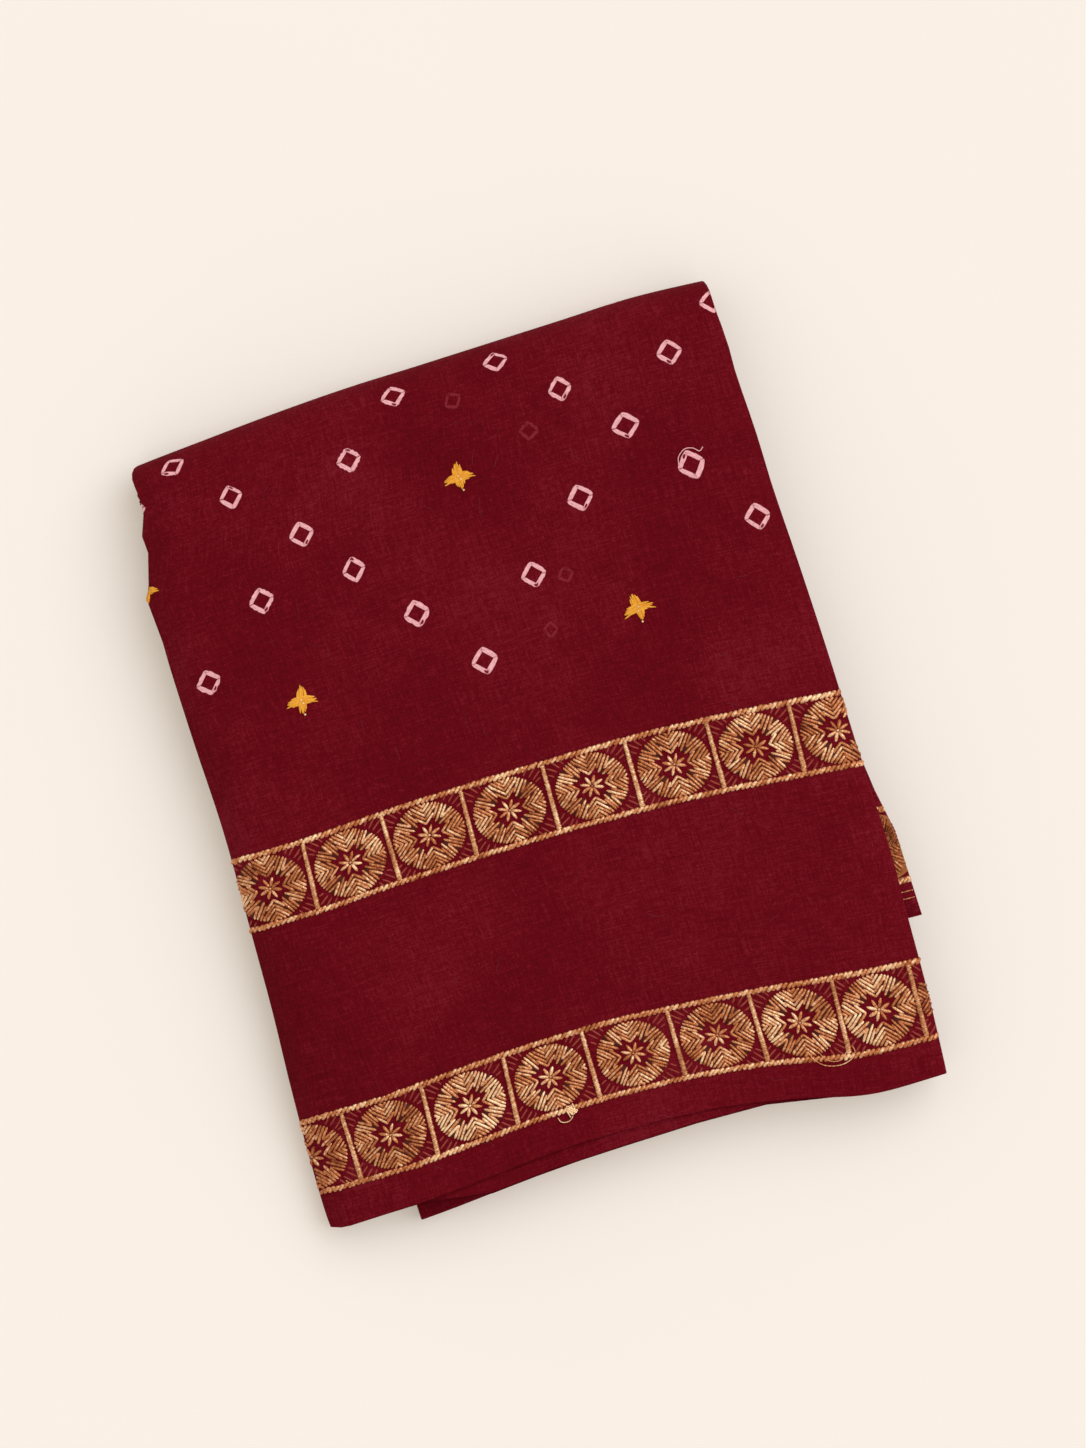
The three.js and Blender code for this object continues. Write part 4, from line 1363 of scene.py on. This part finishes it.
def ring_radii(wide, tall, angle):
    """Radii of the inner and outer loop. A lozenge with half diagonals a and b has the radius
    1 / (|cos| / a + |sin| / b). The outer one is cut to the ring's width and height, the three limits
    joined as (r1^-9 + r2^-9 + r3^-9)^(-1/9). Each of the four bands has its own width."""
    c, s = np.abs(np.cos(angle)) + 1e-6, np.abs(np.sin(angle)) + 1e-6
    inner = 1 / (c / (wide * INNER_WIDE) + s / (tall * INNER_TALL))
    limits = np.stack([1 / (c / (wide / 2) + s / (tall / 2)) * OUTER_OVER, wide / 2 / c, tall / 2 / s])
    outer = (limits ** -CORNER_SHARP).sum(0) ** (-1 / CORNER_SHARP)
    bands = rng.normal(1, 0.08, 4)[(angle // (np.pi / 2)).astype(int)]
    bands = np.convolve(np.r_[bands[-2:], bands, bands[:2]], np.ones(5) / 5, "valid")
    outer = inner + (outer - inner) * bands + wobble(angle, (3, 5, 9, 14))
    return inner + 0.5 * wobble(angle, (2, 3, 6)), outer


def ring_shade(radius, angle, t, nick):
    """0.92 where the cloth stayed pale, less depth * draw * exp(-(gap / 0.19)^2) for each of the four
    lines between bands, gap being the distance from it in mm, less 1.1 in an oval nick, and less 0.3
    at the rim."""
    shade = np.full(radius.shape, PALE)
    for corner, deep in MARKS:
        gap = np.radians(corner + rng.normal(0, 4)) - angle
        gap = (np.abs((gap + np.pi) % (2 * np.pi) - np.pi))[:, None] * radius
        shade = shade - deep * rng.uniform(0.5, 1.0) * np.exp(-((gap / MARK_WIDE) ** 2))
    gap = ((np.radians(nick) - angle + np.pi) % (2 * np.pi) - np.pi)[:, None]
    oval = (gap * radius / NICK_LONG) ** 2 + ((t - NICK_AT) / NICK_WIDE) ** 2
    return shade - NICK_DEEP * (1 - smooth(0.6, 1.1, oval)) - RIM_DEEP * smooth(RIM_FROM, 1, t)


def ring(x, y, wide, tall, turn, nick):
    """A film between the two loops, turned by so many degrees about the ring's middle."""
    angle = np.linspace(0, 2 * np.pi, RING_STEPS, endpoint=False)
    t = np.linspace(0, 1, RING_BANDS)[None, :]
    inner, outer = ring_radii(wide, tall, angle)
    shade = ring_shade(inner[:, None] + (outer - inner)[:, None] * t, angle, t, nick)
    slope = np.radians(turn)
    spin = np.array([(np.cos(slope), np.sin(slope)), (-np.sin(slope), np.cos(slope))])
    unit = np.stack([np.cos(angle), np.sin(angle)], -1) @ spin
    return film(unit * inner[:, None], unit * outer[:, None], x, run_at(x, y), shade, FILM, RING_BANDS)


print("points of one ring:", 2 * RING_STEPS * RING_BANDS)

# %% Undyed cotton
DYE_SPECK = 0.8
STREAKS = (0.35, 6.0, 1.0)


def resist_dye(name, pale, ground):
    """Cloth that the dye could not reach: matt like the rest, pale where the shade is high, with
    streaks along the band. The share of pale goes from 0 to 1 as shade + 1.2 streaks + 0.5 specks goes
    from 1.05 to 1.95."""
    material, tree = new_material(name)
    place = node(tree, "TexCoord").outputs["Object"]
    shade = node(tree, "Attribute", attribute_name="tone").outputs["Fac"]
    bands = node(tree, "Mapping", {"Vector": node(tree, "UVMap", uv_map="cloth"), "Scale": STREAKS})
    streaks = node(tree, "TexNoise", {"Vector": bands, "Scale": 1.0, "Detail": 3.0})
    speck = node(tree, "TexNoise", {"Vector": place, "Scale": 1 / (DYE_SPECK * MM), "Detail": 2.0})
    tone = shade
    for part, weight in ((streaks, 1.2), (speck, 0.5)):
        tone = node(tree, "Math", {0: part, 1: weight, 2: tone}, operation="MULTIPLY_ADD")
    share = node(tree, "MapRange", {0: tone, 1: 1.05, 2: 1.95})
    colour = node(tree, "Mix", {"Factor": share, "A": srgb(ground), "B": srgb(pale)}, data_type="RGBA")
    bump = node(tree, "Bump", {"Height": speck, "Strength": 0.3, "Distance": 0.1 * MM})
    shader = node(tree, "BsdfPrincipled", {
        "Base Color": colour, "Normal": bump, "Roughness": 0.88, "Specular IOR Level": 0.15})
    node(tree, "OutputMaterial", {"Surface": shader})
    return material


on_frame = np.r_[frame_shift[:2], 0, 0, 0, 0]
pale_pink = resist_dye("undyed_pink_cotton", "#f3b9c0", "#7a1424")
faint_red = resist_dye("faintly_resisted_cotton", "#7c1f2c", "#650a17")
sewn("tied_dye_rings", join([ring(*row) for row in RINGS + on_frame]), pale_pink)
sewn("faint_dye_rings", join([ring(*row) for row in FAINT_RINGS + on_frame]), faint_red)

# %% [markdown]
# The small stars are worked in yellow cotton: four broad arms of close threads that start over the
# middle and end in a point, two loose single threads at the sides, and pale knots. One chart serves
# them all, turned, mirrored and scaled a little for each. Every arm is a bundle of threads, because
# their uneven ends make the ragged outline of real embroidery.

# %% One arm of a star
STARS = ((0.15, 101.7, 0, 1), (50.1, 39.9, 7, -1), (-74.7, 38.9, -6, 1), (-119.9, 91.0, 4, 1))
ARMS = np.array([
    # tip across, tip back, half width, threads
    (0.5, 5.2, 2.0, 10), (-5.4, -0.5, 1.6, 9), (5.5, -0.5, 1.6, 9), (0.1, -4.5, 1.8, 9),
    (-5.9, -1.9, 0.2, 1), (6.1, -1.7, 0.25, 1),
])
KNOTS = np.array([(-0.1, 0.2), (0.5, -1.1), (0.5, -5.0)])
BEHIND, ROOT_SHARE, TIP_SHARE, TIP_SHORTER = 0.6, 0.8, 0.66, 0.32


def star_arm(tip, half_width, threads):
    """Start and end points of one arm's threads. For k from -1 to 1 the thread starts 0.6 mm behind
    the middle, 0.8 k * half width aside, and ends at tip * (1 - 0.32 |k|^1.4), 0.66 k * half width
    aside."""
    k = np.linspace(-1, 1, threads)[:, None] if threads > 1 else np.zeros((1, 1))
    way = tip / np.linalg.norm(tip)
    aside = np.array([-way[1], way[0]])
    starts = -BEHIND * way + ROOT_SHARE * k * half_width * aside
    ends = tip * (1 - TIP_SHORTER * np.abs(k) ** 1.4) + TIP_SHARE * k * half_width * aside
    return starts, ends


print("threads of one star:", int(ARMS[:, 3].sum()))

# %% Embroidered stars
SATIN_WIDE, SATIN_BLUNT = 0.78, 3.0
KNOT_HALF, KNOT_WIDE, KNOT_HIGH, KNOT_BLUNT = (0.38, 0.1), 0.8, 1.25, 2.2


def satin_stars():
    """Threads and knots of all stars. A thread's two ends wander by about 0.08 and 0.2 mm, its width by
    15%, and it stands 0.5 to 0.95 mm high."""
    parts, knots = [], []
    for x, y, turn, mirror in np.array(STARS) + np.r_[frame_shift[:2], 0, 0]:
        place = (x, run_at(x, y))
        slope = np.radians(turn + rng.normal(0, 2))
        spin = np.array([(np.cos(slope), np.sin(slope)), (-np.sin(slope), np.cos(slope))])
        for across, back, half_width, threads in ARMS:
            starts, ends = star_arm(np.array([across * mirror, back]), half_width, int(threads))
            starts = (starts + rng.normal(0, 0.08, starts.shape)) @ spin + place
            ends = (ends + rng.normal(0, 0.2, ends.shape)) @ spin + place
            kept = on_the_panel(starts, ends, 1.0)
            count = kept.sum()
            if count:
                parts.append(stitches(starts[kept], ends[kept], SATIN_WIDE * rng.uniform(0.85, 1.15, count),
                                      rng.uniform(0.5, 0.95, count), rng.normal(0, 0.1, count),
                                      blunt=SATIN_BLUNT))
        spots = KNOTS * (mirror, 1) @ spin + place
        kept = on_the_panel(spots, spots, -0.5)
        if kept.any():
            knots.append(stitches(spots[kept] - KNOT_HALF, spots[kept] + KNOT_HALF, KNOT_WIDE, KNOT_HIGH,
                                  blunt=KNOT_BLUNT, sides=8))
    return join(parts), join(knots)


yellow = cotton_thread("yellow_satin_stitch", "#cf7f12", "#ffc34a", 0.42)
cream = cotton_thread("cream_knot_thread", "#f0c070", "#fff0d0", 0.3)
star_threads, star_knots = satin_stars()
sewn("yellow_satin_stars", star_threads, yellow)
sewn("cream_star_knots", star_knots, cream)

# %% [markdown]
# Handwork leaves loose ends. A bunch of gold thread stands up from a disc of the lower border, loops
# have slipped out under the ropes, thin fibres lie on the cloth, and one ring kept a loop of binding
# thread. Each is a round thread drawn through a few listed spots, or, for fibres and the bunch,
# through spots from the seeded draw.

# %% Spots of the loose threads
LOOPS = (
    # width, then spots: across, back of the frame's tables, lift
    (0.42, ((67.7, -129.4, 0.3), (68.8, -132.2, 0.5), (72.2, -135.6, 0.4), (77.4, -136.9, 0.3),
            (81.8, -136.0, 0.4), (83.9, -133.7, 0.5), (83.6, -131.4, 0.3))),
    (0.34, ((70.9, -129.8, 0.3), (73.6, -134.0, 0.8), (78.0, -135.2, 0.6), (81.4, -132.6, 0.3))),
    (0.34, ((-104.1, -131.4, 0.3), (-102.4, -132.8, 0.5), (-99.6, -133.4, 0.5), (-97.4, -132.4, 0.3))),
    (0.34, ((-24.9, -129.0, 0.3), (-24.2, -130.6, 0.5), (-22.7, -131.2, 0.5), (-20.9, -131.0, 0.5),
            (-19.4, -129.6, 0.5))),
)
BINDING = (0.36, ((77.2, 85.4, 0.2), (77.9, 88.2, 0.4), (80.6, 90.3, 0.5), (83.6, 89.9, 0.5),
                 (85.6, 88.3, 0.5), (87.2, 89.4, 0.4)))
print("loops:", len(LOOPS), "spots of the binding loop:", len(BINDING[1]))

# %% A round thread
SPOT_STEPS = 6


def strand(width, spots, sides=6, tone=0.7):
    """A round thread along a smooth curve through spots of (across, y, lift). Round the curve, a point
    lies width / 2 * (cosine of its turn * aside + sine * up) from it, aside being level."""
    spots = np.array(spots, float) + (*frame_shift[:2], 0)
    runs = [run_at(x, y) for x, y in spots[:, :2]]
    stations = np.arange(len(spots))
    at = np.linspace(0, len(spots) - 1, (len(spots) - 1) * SPOT_STEPS + 1)
    line = on_cloth(through(stations, spots[:, 0], at), through(stations, runs, at),
                    through(stations, spots[:, 2], at))
    way = np.gradient(line, axis=0)
    way = way / np.linalg.norm(way, axis=1, keepdims=True)
    aside = np.cross(way, (0, 0, 1.0))
    aside = aside / np.maximum(np.linalg.norm(aside, axis=1, keepdims=True), 1e-6)
    up = np.cross(aside, way)
    turn = 2 * np.pi * np.arange(sides) / sides
    round_it = aside[:, None] * np.cos(turn)[:, None] + up[:, None] * np.sin(turn)[:, None]
    points = (line[:, None] + width / 2 * round_it).reshape(-1, 3)
    walk = np.r_[0, np.cumsum(np.linalg.norm(np.diff(line, axis=0), axis=1))]
    uv = np.stack(np.broadcast_arrays(turn[None] / (2 * np.pi), walk[:, None]), -1).reshape(-1, 2)
    return points, outward(points, spindle_faces(len(line), sides)), uv, np.full(len(points), tone)


binding = strand(*BINDING, tone=0.95)
print("points of the binding loop:", len(binding[0]))

# %% Bunch and lint
BUNCH_AT, BUNCH_SPOTS, BUNCH_SPREAD = (-19.8, -127.4), 40, (1.0625, 1.0)
BUNCH_WIDE, BUNCH_LOW, BUNCH_HIGH = 0.45, 0.5, 1.6
FIBRES, FIBRE_STEPS = 44, 4
FIELD_ACROSS, FIELD_BACK = (-100, 98), (-140, 132)
FIBRE_TURN, FIBRE_STEP, FIBRE_WIDE, FIBRE_LIFT = 0.3, (0.8, 1.9), (0.06, 0.11), 0.08


def bunch():
    """A tangle: spots spread normally about its middle, by about 1 mm each way, standing 0.5 to 1.6 mm
    off the cloth."""
    spots = rng.normal(0, 1, (BUNCH_SPOTS, 2)) * BUNCH_SPREAD + BUNCH_AT
    lifts = rng.uniform(BUNCH_LOW, BUNCH_HIGH, BUNCH_SPOTS)
    return strand(BUNCH_WIDE, np.c_[spots, lifts], tone=1.0)


def fibres():
    """Fine lint: short threads that turn a little at each of four steps."""
    parts = []
    for spot in np.stack([rng.uniform(*FIELD_ACROSS, FIBRES), rng.uniform(*FIELD_BACK, FIBRES)], -1):
        heading = rng.uniform(0, 2 * np.pi) + np.cumsum(rng.normal(0, FIBRE_TURN, FIBRE_STEPS))
        steps = rng.uniform(*FIBRE_STEP) * np.stack([np.cos(heading), np.sin(heading)], -1)
        route = spot + np.r_[np.zeros((1, 2)), np.cumsum(steps, 0)]
        lifts = np.full(len(route), FIBRE_LIFT)
        parts.append(strand(rng.uniform(*FIBRE_WIDE), np.c_[route, lifts], sides=4,
                            tone=rng.uniform(0.2, 1)))
    return parts


lint_thread = cotton_thread("pale_red_lint", "#6c1826", "#90404c", 0.6)
sewn("loose_zari_threads", join([strand(*loop) for loop in LOOPS] + [bunch()]), zari_stitch)
sewn("binding_thread", binding, pale_pink)
sewn("cotton_lint", join(fibres()), lint_thread)

# %% [markdown]
# The floor is a plain pale board, which isn't part of the saree. It has a faint painted glow, which is
# no lamp and which keeps the shadows on it light and warm.

# %% Floor
FLOOR_HALF = 3000.0
FLOOR_BELOW = 0.02
FLOOR_PAINTED_GLOW = 0.28

floor_material, floor_tree = new_material("pale_board")
floor_tone = node(floor_tree, "TexNoise", {
    "Vector": node(floor_tree, "TexCoord").outputs["Object"], "Scale": 6.0, "Detail": 2.0})
floor_colour = node(floor_tree, "Mix", {
    "Factor": floor_tone, "A": srgb("#cdcbc9"), "B": srgb("#d0cecc")}, data_type="RGBA")
# The emission is a painted glow that lightens the shadows on the board.
floor_shader = node(floor_tree, "BsdfPrincipled", {
    "Base Color": floor_colour, "Roughness": 0.8, "Emission Color": srgb("#fff1de"),
    "Emission Strength": FLOOR_PAINTED_GLOW})
node(floor_tree, "OutputMaterial", {"Surface": floor_shader})
floor_corners = np.array([(-1, -1), (1, -1), (1, 1), (-1, 1)]) * FLOOR_HALF
floor_corners = np.c_[floor_corners, np.full(4, -FLOOR_BELOW)]
floor = make_mesh("floor", floor_corners, np.array([[0, 1, 2, 3]]), material=floor_material)
print("floor in m:", 2 * FLOOR_HALF * MM)

# %% [markdown]
# The light is that of a bright room with one large soft window to the right: it gives the stitches
# their bright right-hand sides and the stack its short soft shadow to the left and below. An area lamp
# could stand for the window, but a sun lamp lights the whole stack by the same amount.

# %% Light
WINDOW_AIM, WINDOW_POWER, WINDOW_SPREAD = (-1.0, -0.45, -1.4), 1.42, 60.0
ROOM_LIGHT = 0.76


def window_light(name, aim, power, spread, colour):
    """A lamp far away: its light falls along aim, spread out over so many degrees, so that all the
    board gets the same and shadows are as soft as those of a large window."""
    data = bpy.data.lights.new(name, "SUN")
    data.energy = power
    data.angle = np.radians(spread)
    data.color = srgb(colour)[:3]
    lamp = bpy.data.objects.new(name, data)
    lamp.rotation_euler = Vector(aim).to_track_quat("-Z", "Y").to_euler()
    bpy.context.scene.collection.objects.link(lamp)


window_light("window", WINDOW_AIM, WINDOW_POWER, WINDOW_SPREAD, "#f6f9ff")
world = bpy.data.worlds.new("room")
world.use_nodes = True
background = world.node_tree.nodes["Background"]
background.inputs["Color"].default_value = srgb("#fff4e8")
background.inputs["Strength"].default_value = ROOM_LIGHT
bpy.context.scene.world = world
bpy.context.scene.view_settings.view_transform = "Standard"
print("window strength:", WINDOW_POWER, "room strength:", ROOM_LIGHT)
